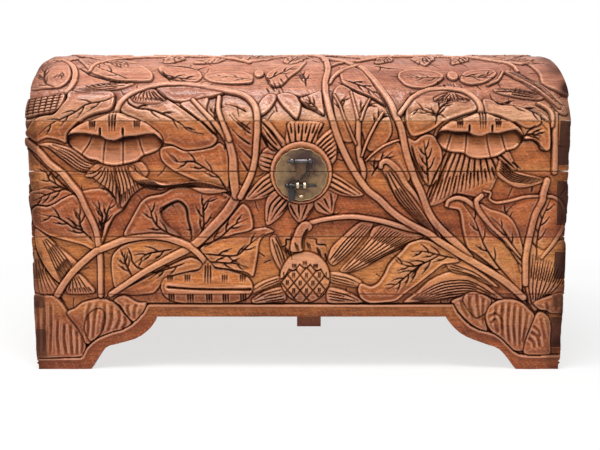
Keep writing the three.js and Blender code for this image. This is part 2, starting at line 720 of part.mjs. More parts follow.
// A leaf's outline from its foot to its tip, and a stem's outline about its middle line.
function leafOutline({ foot, tip, width, bend }) {
  const [start, end] = [new THREE.Vector2(...foot), new THREE.Vector2(...tip)];
  const aside = end.clone().sub(start).normalize().rotateAround(new THREE.Vector2(), Math.PI / 2);
  const middle = start.clone().add(end).multiplyScalar(0.5).addScaledVector(aside, bend);
  return banded(new THREE.SplineCurve([start, middle, end]), leafSteps, (run) => (
    (width / 2) * Math.sin(Math.PI * run ** leafPeak) ** leafFullness
  ));
}

function stemOutline(points) {
  const line = new THREE.SplineCurve(points.map(([u, v]) => new THREE.Vector2(u, v)));
  return banded(line, stemSteps, () => lidStemWidth / 2);
}

// The outline of a band about a line, whose half width depends on how far along it lies.
function banded(line, steps, halfWidthAt) {
  const [left, right] = [[], []];
  for (let i = 0; i <= steps; i += 1) {
    const run = i / steps;
    const p = line.getPoint(run);
    const t = line.getTangent(run);
    const reach = halfWidthAt(run);
    left.push([p.x - t.y * reach, p.y + t.x * reach]);
    if (reach > glueGap) right.push([p.x + t.y * reach, p.y - t.x * reach]);
  }
  return [...left, ...right.reverse()];
}

function circleOutline([u, v], radius, sides) {
  const points = [];
  for (let i = 0; i < sides; i += 1) {
    const angle = (2 * Math.PI * i) / sides;
    points.push([u + radius * Math.cos(angle), v + radius * Math.sin(angle)]);
  }
  return points;
}

// The petals of a round flower, as one shape.
function petalRing([u, v]) {
  const points = [];
  for (let i = 0; i < 2 * petalCount; i += 1) {
    const angle = (Math.PI * i) / petalCount;
    const radius = i % 2 === 0 ? rosetteRadius : rosetteRadius * petalNotch;
    points.push([u + radius * Math.cos(angle), v + radius * Math.sin(angle)]);
  }
  return points;
}

// Carves one piece: its ground is lowered, and leaves and stems are left standing on it. Each form
// is a shape drawn on the face and run square into the piece by the given press.
function carve(full, groundBody, leafBody, press, stems, leaves) {
  let body = groundBody;
  for (const shape of leaves) body = body.add(leafBody.intersect(press(shape)));
  for (const shape of stems) body = body.add(full.intersect(press(shape)));
  return body;
}

const turnedAbout = (points) => points.map(([u, v]) => [-u, 2 * halfLength - v]);
const withBack = (shapes) => [...shapes, ...shapes.map(turnedAbout)];
const knobs = lidRosettes.map((u) => circleOutline([u, halfLength], rosetteKnob, knobSides));
const rosettes = lidRosettes.map((u) => petalRing([u, halfLength]));
const vaultStems = [...withBack(lidStems.map(stemOutline)), ...knobs];
const vaultLeaves = [...withBack(lidLeaves.map(leafOutline)), ...rosettes];

// Presses a shape drawn on the vault into one stave, square to the middle of the stave.
function vaultPress(along) {
  const [y, z] = sectionPoint(along, 0);
  const [yIn, zIn] = sectionPoint(along, 1);
  const out = new THREE.Vector3(0, y - yIn, z - zIn);
  const up = new THREE.Vector3(0, out.z, -out.y);
  const turn = new THREE.Matrix4().makeBasis(new THREE.Vector3(1, 0, 0), up, out);
  return (shape) => {
    const drawn = outline(shape.map(([u, v]) => [u, v - along]));
    const prism = new THREE.ExtrudeGeometry(drawn, { depth: 2 * beyond, bevelEnabled: false });
    return solid(prism.translate(0, 0, -beyond).applyMatrix4(turn).translate(0, y, z));
  };
}

const staveWidth = (2 * halfLength) / staveCount;
const underRail = block(-wideX, wideX, -beyond, chestDepth + beyond, 0, railTop + half);
for (let i = 0; i < staveCount; i += 1) {
  const from = i * staveWidth + (i > 0 ? half : 0);
  const to = (i + 1) * staveWidth - (i < staveCount - 1 ? half : 0);
  const inner = sectionLine(from, to, staveThickness, staveSteps).reverse();
  const [full, groundBody, leafBody] = [0, groundDepth, leafDepth].map((depth) => {
    const outer = sectionLine(from, to, depth, staveSteps);
    return slabX(outline([...inner, ...outer].reverse()), -halfWidth, halfWidth);
  });
  const near = (shape) => {
    const heights = shape.map((point) => point[1]);
    return Math.max(...heights) > from && Math.min(...heights) < to;
  };
  const press = vaultPress((from + to) / 2);
  const stave = carve(full, groundBody, leafBody, press, vaultStems.filter(near), vaultLeaves.filter(near));
  place(`lid_stave_${i + 1}`, stave.subtract(underRail), redWood);
}

const vaultSteps = staveCount * staveSteps;
const vaultLine = sectionLine(0, 2 * halfLength, staveThickness + glueGap, vaultSteps).reverse();
const vaultOutline = outline([[vaultLine[vaultSteps][0], lidBottom], [vaultLine[0][0], lidBottom], ...vaultLine]);
const midDepth = chestDepth / 2;
const bothHalves = (points) => [1, -1].map((sign) => points.map(([u, v]) => [midDepth + sign * u, v]));
const gableFlower = [midDepth, gableRosetteHeight];
const gableStems = [...bothHalves(stemOutline(gableStem)), circleOutline(gableFlower, rosetteKnob, knobSides)];
const gableBlades = [...gableLeaves.flatMap((leaf) => bothHalves(leafOutline(leaf))), petalRing(gableFlower)];
const squarePress = (shape) => slabX(outline(shape), -halfWidth - beyond, halfWidth + beyond);
for (const side of ["left", "right"]) {
  const [x0, x1] = endSpan(side);
  const base = cutEndBoard(block(x0, x1, 0, chestDepth, lidRow.low, lidRow.high), lidRow, side);
  const vault = cutEndBoard(slabX(vaultOutline, x0, x1), { ...lidRow, top: railTop - beyond * 2 }, side);
  const gable = base.add(vault).subtract(stopBevel(1));
  const lowered = (depth) => {
    const kept = halfWidth - depth;
    return gable.intersect(block(-kept, kept, -beyond, chestDepth + beyond, 0, railTop + lidRise));
  };
  const end = carve(gable, lowered(groundDepth), lowered(leafDepth), squarePress, gableStems, gableBlades);
  place(`lid_end_${side}`, end, redWood);
}
place("lid_rail_front", cutSeat(faceBoard(lidRow, 0, frontThickness)), goldWood);
const railBack = faceBoard(lidRow, chestDepth - backThickness, chestDepth).subtract(stopBevel(1));
place("lid_rail_back", cutForHinges(railBack, 1), redWood);

// Everything moves along y, so that the middle between the lock's foremost point and the back is 0.
const foremost = Math.min(pivotY - eyeRadius, stapleFront, pinY - dropEyeRadius);
const middleY = (foremost + chestDepth) / 2;
for (const piece of chest.children) piece.geometry.translate(0, -middleY, 0);

export default chest;
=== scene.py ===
import json
import math

import bmesh
import bpy
import numpy as np
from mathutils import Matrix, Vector

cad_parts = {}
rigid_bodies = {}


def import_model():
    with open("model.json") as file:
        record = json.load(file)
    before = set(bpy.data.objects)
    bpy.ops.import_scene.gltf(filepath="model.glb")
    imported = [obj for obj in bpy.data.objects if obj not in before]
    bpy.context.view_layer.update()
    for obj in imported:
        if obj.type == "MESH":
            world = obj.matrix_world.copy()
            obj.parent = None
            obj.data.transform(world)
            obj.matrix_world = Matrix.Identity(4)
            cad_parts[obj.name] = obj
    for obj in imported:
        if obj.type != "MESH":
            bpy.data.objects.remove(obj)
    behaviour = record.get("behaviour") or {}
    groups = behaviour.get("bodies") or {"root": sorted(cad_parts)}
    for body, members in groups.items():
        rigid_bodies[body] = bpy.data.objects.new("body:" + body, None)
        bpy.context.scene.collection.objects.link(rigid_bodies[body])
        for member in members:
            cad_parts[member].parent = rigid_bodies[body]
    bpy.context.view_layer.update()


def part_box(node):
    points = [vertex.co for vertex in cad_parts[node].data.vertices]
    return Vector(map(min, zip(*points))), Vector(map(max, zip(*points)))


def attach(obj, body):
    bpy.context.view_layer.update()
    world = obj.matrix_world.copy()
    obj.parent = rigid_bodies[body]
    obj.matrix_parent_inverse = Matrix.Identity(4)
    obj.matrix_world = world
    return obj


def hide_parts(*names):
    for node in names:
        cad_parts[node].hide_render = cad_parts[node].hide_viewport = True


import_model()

scene = bpy.context.scene
scene.view_settings.view_transform = "Standard"

# The camera
# The photograph was taken a little above the middle of the front and about 1.4 m away, with the
# lens tipped down. Its numbers also carry points seen in the photograph onto the chest's face.
mm = 0.001
picture_width, picture_height = 600, 450
focal = 753.0
tipped_down = math.radians(8.25)
eye_before_front = 1380.0
eye_up = 479.0
eye_across = 2.8
sensor = 36.0
front_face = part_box("front_board_lower")[0][1]

camera_data = bpy.data.cameras.new("photo_camera")
camera_data.sensor_width = sensor
camera_data.lens = focal * sensor / picture_width
camera = bpy.data.objects.new("photo_camera", camera_data)
camera.location = (eye_across * mm, front_face - eye_before_front * mm, eye_up * mm)
camera.rotation_euler = (math.pi / 2 - tipped_down, 0, 0)
scene.collection.objects.link(camera)
scene.camera = camera

# The drawing on the boards
# The carver lays one drawing over the plinth, the front and the vaulted lid, so it is one sheet
# here: millimetres across, and up from the floor over the front and along the lid's curve. At
# each crossing it holds the height left standing, 0 at the planed surface and less where cut.
chest_depth = 504.0
rail_top = 470.0
shoulder_steep = math.radians(68)
shoulder_pull = 75.0
crown_pull = 140.0
lid_crown = 607.0
half_depth = chest_depth / 2


def lid_section():
    """The lid's section as a fine line of points, back from the front face and up, in mm."""
    start = np.array([0.0, rail_top])
    rise = start + shoulder_pull * np.array([math.cos(shoulder_steep), math.sin(shoulder_steep)])
    flat = np.array([half_depth - crown_pull, lid_crown])
    crown = np.array([half_depth, lid_crown])
    t = np.linspace(0, 1, 400)[:, None]
    half = (1 - t) ** 3 * start + 3 * (1 - t) ** 2 * t * rise + 3 * (1 - t) * t**2 * flat + t**3 * crown
    mirrored = half[-2::-1] * [-1, 1] + [chest_depth, 0]
    return np.vstack([half, mirrored])


section = lid_section()
section_run = np.r_[0, np.cumsum(np.hypot(*np.diff(section, axis=0).T))]
section_length = section_run[-1]


def over_face(up):
    """Where a height on the sheet lies: back from the front face, up, and its outward direction."""
    on_lid = np.clip(np.asarray(up, float) - rail_top, 0, section_length)
    back = np.interp(on_lid, section_run, section[:, 0])
    high = np.interp(on_lid, section_run, section[:, 1])
    reach = 1.0
    ahead = np.clip(on_lid + reach, 0, section_length)
    behind = np.clip(on_lid - reach, 0, section_length)
    along_back = np.interp(ahead, section_run, section[:, 0]) - np.interp(behind, section_run, section[:, 0])
    along_up = np.interp(ahead, section_run, section[:, 1]) - np.interp(behind, section_run, section[:, 1])
    size = np.hypot(along_back, along_up)
    past = np.clip(np.asarray(up, float) - rail_top - section_length, 0, None)
    below = np.asarray(up) < rail_top
    out_back = np.where(below, -1.0, np.where(past > 0, 1.0, -along_up / size))
    out_up = np.where(below | (past > 0), 0.0, along_back / size)
    return back, np.where(below, up, high - past), out_back, out_up


def lines_of_sight():
    """Sheet heights with the photo row they are seen at and their depth from the eye."""
    up = np.arange(0, rail_top + section_length / 2, 1.0)
    back, high, _, _ = over_face(up)
    forward = (back + eye_before_front) * math.cos(tipped_down) - (high - eye_up) * math.sin(tipped_down)
    above = (back + eye_before_front) * math.sin(tipped_down) + (high - eye_up) * math.cos(tipped_down)
    row = picture_height / 2 - focal * above / forward
    last = np.argmin(row)
    return up[:last], row[:last], forward[:last]


sight_up, sight_row, sight_depth = lines_of_sight()


def seen(*pixels):
    """Points of the photograph, carried along the eye's rays onto the sheet."""
    x, y = np.array(pixels, float).T
    up = np.interp(-y, -sight_row, sight_up)
    depth = np.interp(up, sight_up, sight_depth)
    return np.stack([eye_across + (x - picture_width / 2) * depth / focal, up], 1)


def curve(points, closed=False, gap=2.5):
    """A smooth line through the points, with a point about every gap mm."""
    p = np.asarray(points, float)
    if closed:
        p = np.vstack([p[-1], p, p[0], p[1]])
    else:
        p = np.vstack([2 * p[0] - p[1], p, 2 * p[-1] - p[-2]])
    pieces = []
    for a, b, c, d in zip(p, p[1:], p[2:], p[3:]):
        t = np.linspace(0, 1, int(np.hypot(*(c - b)) / gap) + 2, endpoint=False)[:, None]
        straight = b + (c - b) * t
        bent = 0.5 * (2 * b + (c - a) * t + (2 * a - 5 * b + 4 * c - d) * t**2
                      + (3 * b - a - 3 * c + d) * t**3)
        pieces.append(0.2 * straight + 0.8 * bent)
    pieces.append(p[-2:-1])
    return np.vstack(pieces)


def between(first, last, share, count=12):
    """The line that lies a given share of the way from one line to another."""
    steps = np.linspace(0, 1, count)
    lines = []
    for line in (first, last):
        line = np.asarray(line, float)
        run = np.r_[0, np.cumsum(np.hypot(*np.diff(line, axis=0).T))]
        lines.append(np.stack([np.interp(steps * run[-1], run, line[:, k]) for k in (0, 1)], 1))
    return lines[0] * (1 - share) + lines[1] * share


def eased(x):
    """0 to 1 with soft ends."""
    x = np.clip(x, 0, 1)
    return x * x * (3 - 2 * x)


def fading(away, reach):
    """1 where away is nothing, falling softly to 0 past the reach."""
    return np.exp(-((away / reach) ** 2))


def blurred(field, cells):
    """A field smoothed over so many cells."""
    span = np.arange(-2 * cells, 2 * cells + 1)
    weights = fading(span, cells)
    weights /= weights.sum()
    for axis in (0, 1):
        padded = np.pad(field, [(2 * cells, 2 * cells) if k == axis else (0, 0) for k in (0, 1)], mode="edge")
        total = np.zeros_like(field)
        for shift, weight in enumerate(weights):
            part = [slice(None), slice(None)]
            part[axis] = slice(shift, shift + field.shape[axis])
            total += weight * padded[tuple(part)]
        field = total
    return field


class Sheet:
    """A face to be carved, as a net of crossings a pitch apart."""

    def __init__(self, left, right, bottom, top, pitch, ground):
        self.pitch = pitch
        self.across = np.arange(left, right + pitch, pitch)
        self.up = np.arange(bottom, top + pitch, pitch)
        self.high = np.full((len(self.up), len(self.across)), float(ground))
        self.dark = np.zeros_like(self.high)
        self.pale_and_highlight = np.zeros_like(self.high)

    def window(self, line, reach):
        """The rows and columns within reach of a line."""
        found = []
        for axis, lines in ((1, self.up), (0, self.across)):
            low = int(np.searchsorted(lines, line[:, axis].min() - reach))
            high = int(np.searchsorted(lines, line[:, axis].max() + reach))
            found.append(slice(low, max(high, low + 1)))
        return tuple(found)

    def measure(self, line, reach):
        """Round a line: the window, the distance to it, how far along it, and which side, 1 being left."""
        window = self.window(line, reach)
        up = self.up[window[0]][:, None]
        across = self.across[window[1]][None, :]
        far = np.full((up.shape[0], across.shape[1]), reach * 1.5)
        share = np.zeros_like(far)
        side = np.ones_like(far)
        run = np.r_[0, np.cumsum(np.hypot(*np.diff(line, axis=0).T))]
        run /= max(run[-1], 1e-9)
        for a, b, begin, end in zip(line, line[1:], run, run[1:]):
            low = np.minimum(a, b) - reach
            high = np.maximum(a, b) + reach
            rows = slice(np.searchsorted(up[:, 0], low[1]), np.searchsorted(up[:, 0], high[1]))
            cols = slice(np.searchsorted(across[0], low[0]), np.searchsorted(across[0], high[0]))
            step = b - a
            square = max(step @ step, 1e-9)
            du = across[:, cols] - a[0]
            dv = up[rows] - a[1]
            k = np.clip((du * step[0] + dv * step[1]) / square, 0, 1)
            distance = np.hypot(du - k * step[0], dv - k * step[1])
            nearer = distance < far[rows, cols]
            far[rows, cols][nearer] = distance[nearer]
            share[rows, cols][nearer] = (begin + (end - begin) * k)[nearer]
            side[rows, cols][nearer] = np.where(step[0] * dv - step[1] * du > 0, 1.0, -1.0)[nearer]
        return window, far, share, side

    def enclosed(self, outline, window):
        """Which crossings of the window lie inside a closed outline."""
        up = self.up[window[0]][:, None]
        across = self.across[window[1]][None, :]
        inside = np.zeros((up.shape[0], across.shape[1]), bool)
        for a, b in zip(outline, np.roll(outline, -1, axis=0)):
            if a[1] != b[1]:
                crosses = (a[1] > up) != (b[1] > up)
                inside ^= crosses & (across < (b[0] - a[0]) * (up - a[1]) / (b[1] - a[1]) + a[0])
        return inside

    def blade(self, outline, level, crown=1.0, crown_reach=16, trench=2.2, rim=0.0, lean=0.0):
        """A leaf's blade: domed, leaning its own way, its edge raised, a trench and a slope round it."""
        outline = curve(outline, closed=True)
        ring = np.vstack([outline, outline[:1]])
        window, far, _, _ = self.measure(ring, max(crown_reach, 16))
        inside = self.enclosed(outline, window)
        high, dark = self.high[window], self.dark[window]
        surface = level + crown * eased(far / crown_reach)
        surface += 1.1 * rim * fading(far - 2.4, 2.0) - rim * fading(far - 8.5, 4.0)
        surface -= (0.9 + 0.6 * rim) * fading(far, 1.3)
        middle = outline.mean(0)
        way = middle[0] * 0.037 + middle[1] * 0.061
        up = self.up[window[0]][:, None] - middle[1]
        across = self.across[window[1]][None, :] - middle[0]
        surface = surface + np.clip(lean * (math.cos(way) * across + math.sin(way) * up) / 100, -1.6, 1.6)
        around = trench * (0.6 * fading(far, 1.9) + 0.22 * fading(far, 8.0))
        kept = self.wall(np.where(inside, far, -far))
        high[:] = surface * kept + (high - around) * (1 - kept)
        # painted shade on the ground round the leaf, deeper below it
        soft_shade = (fading(far, 1.7) + 0.3 * fading(far, 7.0)) * self.shade_below_forms(far)
        dark[:] = np.where(inside, 0.0, np.maximum(dark, soft_shade))
        dark[:] = np.maximum(dark, 0.35 * inside * fading(far, 1.1))

    def wall(self, within):
        """How much of a form stands at a crossing: all inside its edge, none outside, steep between."""
        return np.clip(0.5 + within / (1.4 * self.pitch), 0, 1)

    def shade_below_forms(self, far):
        """More below a form than above it: painted shade on the side away from the light above."""
        rise, aside = np.gradient(far, self.pitch)
        return np.clip(0.8 - 0.3 * rise + 0.1 * aside, 0.4, 1.15)

    def dent(self, line, reach, depth):
        """A broad shallow hollow along a line."""
        window, far, _, _ = self.measure(line, reach * 2)
        self.high[window] -= depth * np.exp(-((far / reach) ** 2))

    def stem(self, line, widths, top=-0.3, fall=4.4, trench=1.6):
        """A round stem that stands on all it crosses, with a trench down both sides."""
        line = curve(line)
        widths = np.atleast_1d(np.asarray(widths, float))
        reach = widths.max() / 2 + 6
        window, far, share, _ = self.measure(line, reach)
        half = np.interp(share, np.linspace(0, 1, len(widths)), widths) / 2
        off = far / half
        inside = off < 1
        round_top = top - fall * (1 - np.sqrt(np.clip(1 - np.minimum(off, 1) ** 2, 0, 1))) * 0.9
        high, dark = self.high[window], self.dark[window]
        around = fading(far - half, 1.8)
        kept = self.wall(half - far)
        high[:] = round_top * kept + (high - trench * around) * (1 - kept)
        shade = (around + 0.3 * fading(far - half, 5.5)) * self.shade_below_forms(far)
        dark[:] = np.where(inside, 0.3 * eased((off - 0.75) / 0.25), np.maximum(dark, shade))

    def cut(self, line, width=2.6, depth=1.8, lift=0.5, run_out=0.35):
        """A V-tool cut that narrows to nothing at its far end, one lip a little proud."""
        line = curve(line) if len(line) < 12 else np.asarray(line)
        window, far, share, side = self.measure(line, 7.0)
        taper = np.clip((1 - share) / run_out, 0.3, 1) * np.clip(share / 0.06, 0.5, 1)
        half = np.maximum(width / 2 * taper, 1.1)
        groove = np.clip(1 - far / (half * 1.5), 0, 1)
        high, dark = self.high[window], self.dark[window]
        high[:] += 1.3 * lift * taper * side * fading(far, 4.0) * (far < 7)
        high[:] -= 1.25 * depth * taper * groove**0.8
        dark[:] = np.maximum(dark, eased(groove * 1.7) * (0.6 + 0.4 * taper))

    def fringe(self, first, last, gap, width=2.3, depth=2.0):
        """Cuts spread from one line to another about a gap apart, fewer where the lines run together."""
        apart = np.hypot(*(between(first, last, 1) - between(first, last, 0)).T)
        count = max(int(round(1.24 * apart.max() / gap)), 2)
        for k in range(count):
            line = between(first, last, 1.24 * (k + 0.5) / count - 0.12)
            free = np.flatnonzero(apart * 1.24 / count > 0.75 * gap / (1 if k % 2 else 2 if k % 4 else 4))
            if len(free) > 3:
                self.cut(line[free[0]:free[-1] + 1], width, depth, lift=0.6)

    def forks(self, rib, count=4, length=14.0, lean=48, first=1, width=2.4):
        """A vein with short forks to either side, leaning toward its tip."""
        line = curve(rib)
        self.dent(line, 8.0, 0.7)
        self.cut(line, width + 0.5, 2.3)
        count = count + 2
        for k in range(count):
            share = 0.16 + 0.74 * (k + 0.3) / count
            at = int(share * (len(line) - 2))
            heading = line[at + 1] - line[at]
            heading /= max(np.hypot(*heading), 1e-9)
            turn = math.radians(lean) * (first if k % 2 == 0 else -first)
            out = np.array([heading[0] * math.cos(turn) - heading[1] * math.sin(turn),
                            heading[0] * math.sin(turn) + heading[1] * math.cos(turn)])
            reach = 1.75 * length * (1.15 - 0.5 * share)
            middle = line[at] + out * reach * 0.5 + heading * reach * 0.08
            tip = line[at] + out * reach * 0.9 + heading * reach * 0.5
            self.cut(np.array([line[at], middle, tip]), width + 0.1, 1.8)
            if k % 2 == 0:
                twig = middle + heading * reach * 0.36 + out * reach * 0.04
                self.cut(np.array([middle, (middle + twig) / 2 + out * 0.5, twig]), width - 0.3, 1.2)

    def leaf(self, foot, tip, width, bend, level=-2.8, rim=0.6, veins=4):
        """A pointed leaf drawn from its foot to its tip, bent to one side, with forked veins."""
        foot, tip = np.array(foot, float), np.array(tip, float)
        way = (tip - foot) / np.hypot(*(tip - foot))
        aside = np.array([-way[1], way[0]])
        rib = curve([foot, (foot + tip) / 2 + aside * bend, tip])
        run = np.linspace(0, 1, len(rib))
        heading = np.gradient(rib, axis=0)
        heading /= np.hypot(*heading.T)[:, None]
        left = np.stack([-heading[:, 1], heading[:, 0]], 1)
        lobes = 1 + 0.10 * np.sin(run * 17) * (run < 0.85)
        swell = (width / 2 * np.sin(math.pi * run**0.72) ** 0.75 * lobes)[:, None]
        outline = np.vstack([rib + left * swell, (rib - left * swell)[::-1]])[::4]
        self.blade(outline, level, 1.2, crown_reach=width / 3, rim=rim, lean=3.0)
        self.forks(rib[:int(len(rib) * 0.9):4], veins, width * 0.34)


# The carving, leaves
# Broad water leaves cover most of the face. Each is left at its own level with a trench cut round
# it, slightly domed, and veined with a V-tool; the ground between them lies deepest.
sheet = Sheet(-503, 503, -3, rail_top + section_length + 3, 1.25, -6.0)

leaves = [
    # rail and lid, left
    (-2.6, 0.5, [(23, 134), (26, 129), (31, 121), (38, 116), (46, 114), (53, 113), (60, 105), (66, 98),
                 (69, 90), (90, 90), (112, 91), (114, 100), (110, 108), (95, 112), (84, 117), (74, 125),
                 (66, 134), (65, 143), (57, 140), (46, 138), (40, 140), (34, 142)]),
    (-2.2, 0.6, [(122, 97), (130, 92), (142, 89), (155, 88), (170, 99), (184, 109), (198, 120), (210, 131),
                 (217, 139), (212, 146), (199, 149.6), (184, 150.5), (172, 145), (162, 143), (161, 137),
                 (153, 129), (138, 119), (124, 113), (118, 106)]),
    (-2.8, 0.4, [(156, 87), (168, 85), (190, 85), (212, 88), (226, 91), (214, 95), (198, 98), (184, 100),
                 (170, 98)]),
    (-2.8, 0.0, [(180, 102), (196, 98), (208, 96), (206, 108), (210, 122), (216, 134), (202, 121),
                 (190, 112)]),
    (-3.2, 0.6, [(160, 148.6), (172, 146), (184, 151), (199, 150), (212, 147), (219, 143), (227, 150),
                 (229, 165), (229, 180), (226, 192.6), (208, 185), (191, 179), (172, 170), (161, 160)]),
    # body, left
    (-3.6, 0.4, [(27, 150), (36, 160), (47, 171), (60, 184), (66, 190), (58, 189), (46, 188), (31, 192),
                 (28, 172)]),
    (-3.2, 0.6, [(29, 193), (38, 190), (48, 187), (58, 188), (72, 194), (61, 199), (53, 204), (46, 206),
                 (36, 205), (29.5, 207)]),
    (-3.0, 0.5, [(80, 194), (88, 190), (99, 189), (107, 191.5), (114, 199), (124, 196), (129, 198),
                 (122, 210), (114, 216), (108, 227), (104.5, 236), (99, 248), (96, 232), (90, 216)]),
    (-2.6, 0.8, [(30, 212), (36, 206), (46, 207), (54, 204), (62, 199), (73, 195), (82, 204), (88, 216),
                 (94, 234), (96, 251), (91, 250), (82, 245.5), (69, 242), (53, 238), (44, 234), (33, 226)]),
    (-2.8, 0.9, [(124, 236), (125.7, 229), (129.5, 222), (136, 210), (141, 202), (148, 197), (160, 194.6),
                 (166, 192), (172, 188), (181.5, 186), (197, 188), (214, 190), (226, 194), (232, 200),
                 (222, 214), (208, 228), (196, 240), (184, 246), (160, 238), (140, 240)]),
    (-3.0, 0.5, [(112, 256), (122, 246), (140, 240), (158, 239), (176, 244), (190, 249), (172, 256),
                 (158, 263), (144, 271), (126, 283), (115, 290), (111, 272)]),
    (-3.2, 0.5, [(200, 249), (210, 243), (222, 238), (236, 234), (252, 230), (266, 228), (274, 232),
                 (264, 236), (259, 244), (258, 253), (256, 264), (253, 277), (246, 273), (232, 270),
                 (214, 267), (206, 258)]),
    (-3.4, 0.5, [(204, 244), (216, 232), (228, 220), (238, 208), (243, 204), (250, 211), (252.4, 229),
                 (233, 235), (218, 240)]),
    (-3.6, 0.4, [(108, 294), (130, 286), (150, 276), (172, 265), (190, 258), (203, 263), (205, 268),
                 (188, 272), (170, 277), (160, 286), (152, 294), (132, 296)]),
    # middle
    (-3.4, 0.3, [(262, 152), (268, 146), (262, 136), (266, 122), (276, 132), (288, 146), (274, 160),
                 (262, 164)]),
    (-2.8, 0.7, [(366, 160), (375, 153), (386, 146), (397, 141), (403, 148), (408, 160), (412, 172),
                 (408, 182), (398, 172), (388, 162), (377, 161)]),
    (-2.4, 0.8, [(408, 138), (415, 141), (421, 137), (427, 134.5), (434, 136), (441, 146), (443, 158),
                 (441, 169), (438, 181), (430, 186), (424, 180), (416, 164), (410, 150)]),
    (-2.6, 0.6, [(524, 139.5), (534, 139.5), (540, 143), (541.5, 149), (547, 151), (551, 148), (551, 130),
                 (549, 118), (540, 110), (524, 106), (508, 102), (494, 100), (500, 111), (514, 119),
                 (522, 128)]),
    (-3.6, 0.5, [(477, 198), (483, 192), (490, 193), (491, 199), (498, 203), (511, 201), (526, 197),
                 (541, 196), (553, 197), (561, 202), (565, 212), (564, 228), (557, 243), (545, 260),
                 (530, 285), (522, 280), (520, 262), (512, 246), (496, 232), (484, 220)]),
    (-2.6, 0.9, [(408, 97), (418, 92.5), (440, 90), (462, 92), (474, 98), (478, 108), (462, 114), (446, 120),
                 (436, 128), (424, 134), (412, 136), (406, 120)]),
    (-2.8, 0.4, [(484, 97), (500, 100), (516, 104), (532, 109), (541, 114), (541, 124), (528, 128),
                 (514, 121), (500, 114), (486, 110)]),
    # lid, middle and right
    (-2.6, 0.5, [(204, 76), (207, 71), (225, 69), (245, 71), (253, 76), (251, 82), (235, 83), (213, 81)]),
    (-2.6, 0.5, [(266, 74), (278, 66), (292, 61), (306, 60), (300, 68), (290, 76), (282, 84), (272, 85)]),
    (-2.8, 0.3, [(277, 94), (272, 105), (264, 113), (259, 113), (258, 104), (263, 96), (270, 92)]),
    (-2.8, 0.3, [(277, 93), (287, 91), (296, 94), (301, 103), (297, 118), (288, 110), (281, 102)]),
    (-3.0, 0.4, [(300, 95), (312, 92), (321, 90), (323, 102), (324, 114), (314, 108), (304, 103)]),
    (-2.4, 0.8, [(398.7, 71), (398, 75.6), (401, 79.4), (406, 84), (413, 86.5), (425, 87), (436, 83),
                 (444, 76.5), (440, 72), (428, 69), (413, 68), (404, 68.7)]),
    (-2.4, 0.8, [(460, 78), (465, 82), (473, 83.5), (483, 82), (491, 78), (497, 72), (492, 68), (480, 68),
                 (465, 71)]),
    (-2.2, 0.2, [(521, 58), (530, 64), (539, 73), (542, 82), (555, 89), (569, 95), (570, 84), (562, 66),
                 (548, 57)]),
    (-2.4, 0.4, [(80, 57), (84, 63), (92, 71), (107, 77), (124, 80), (150, 80), (152, 72), (140, 64),
                 (120, 58)]),
    (-2.6, 0.4, [(158, 68), (165, 74), (178, 79), (196, 80), (202, 74), (196, 67), (178, 64), (164, 65)]),
    (-2.8, 0.3, [(30, 78), (36, 66), (46, 59), (58, 58), (68, 63), (71, 71), (69, 79), (60, 86), (44, 87),
                 (30, 88)]),
    (-2.8, 0.4, [(340, 66), (352, 66), (362, 70), (372, 82), (382, 98), (386, 104), (374, 97), (356, 90),
                 (342, 80)]),
    (-3.0, 0.2, [(333, 92), (342, 84), (356, 92), (368, 97), (384, 106), (390, 116), (392, 134), (380, 150),
                 (368, 150), (362, 132), (352, 142), (342, 140), (336, 124)]),
]
for level, rim, outline in leaves:
    sheet.blade(seen(*outline), level, crown=1.1, rim=rim, lean=4.0)

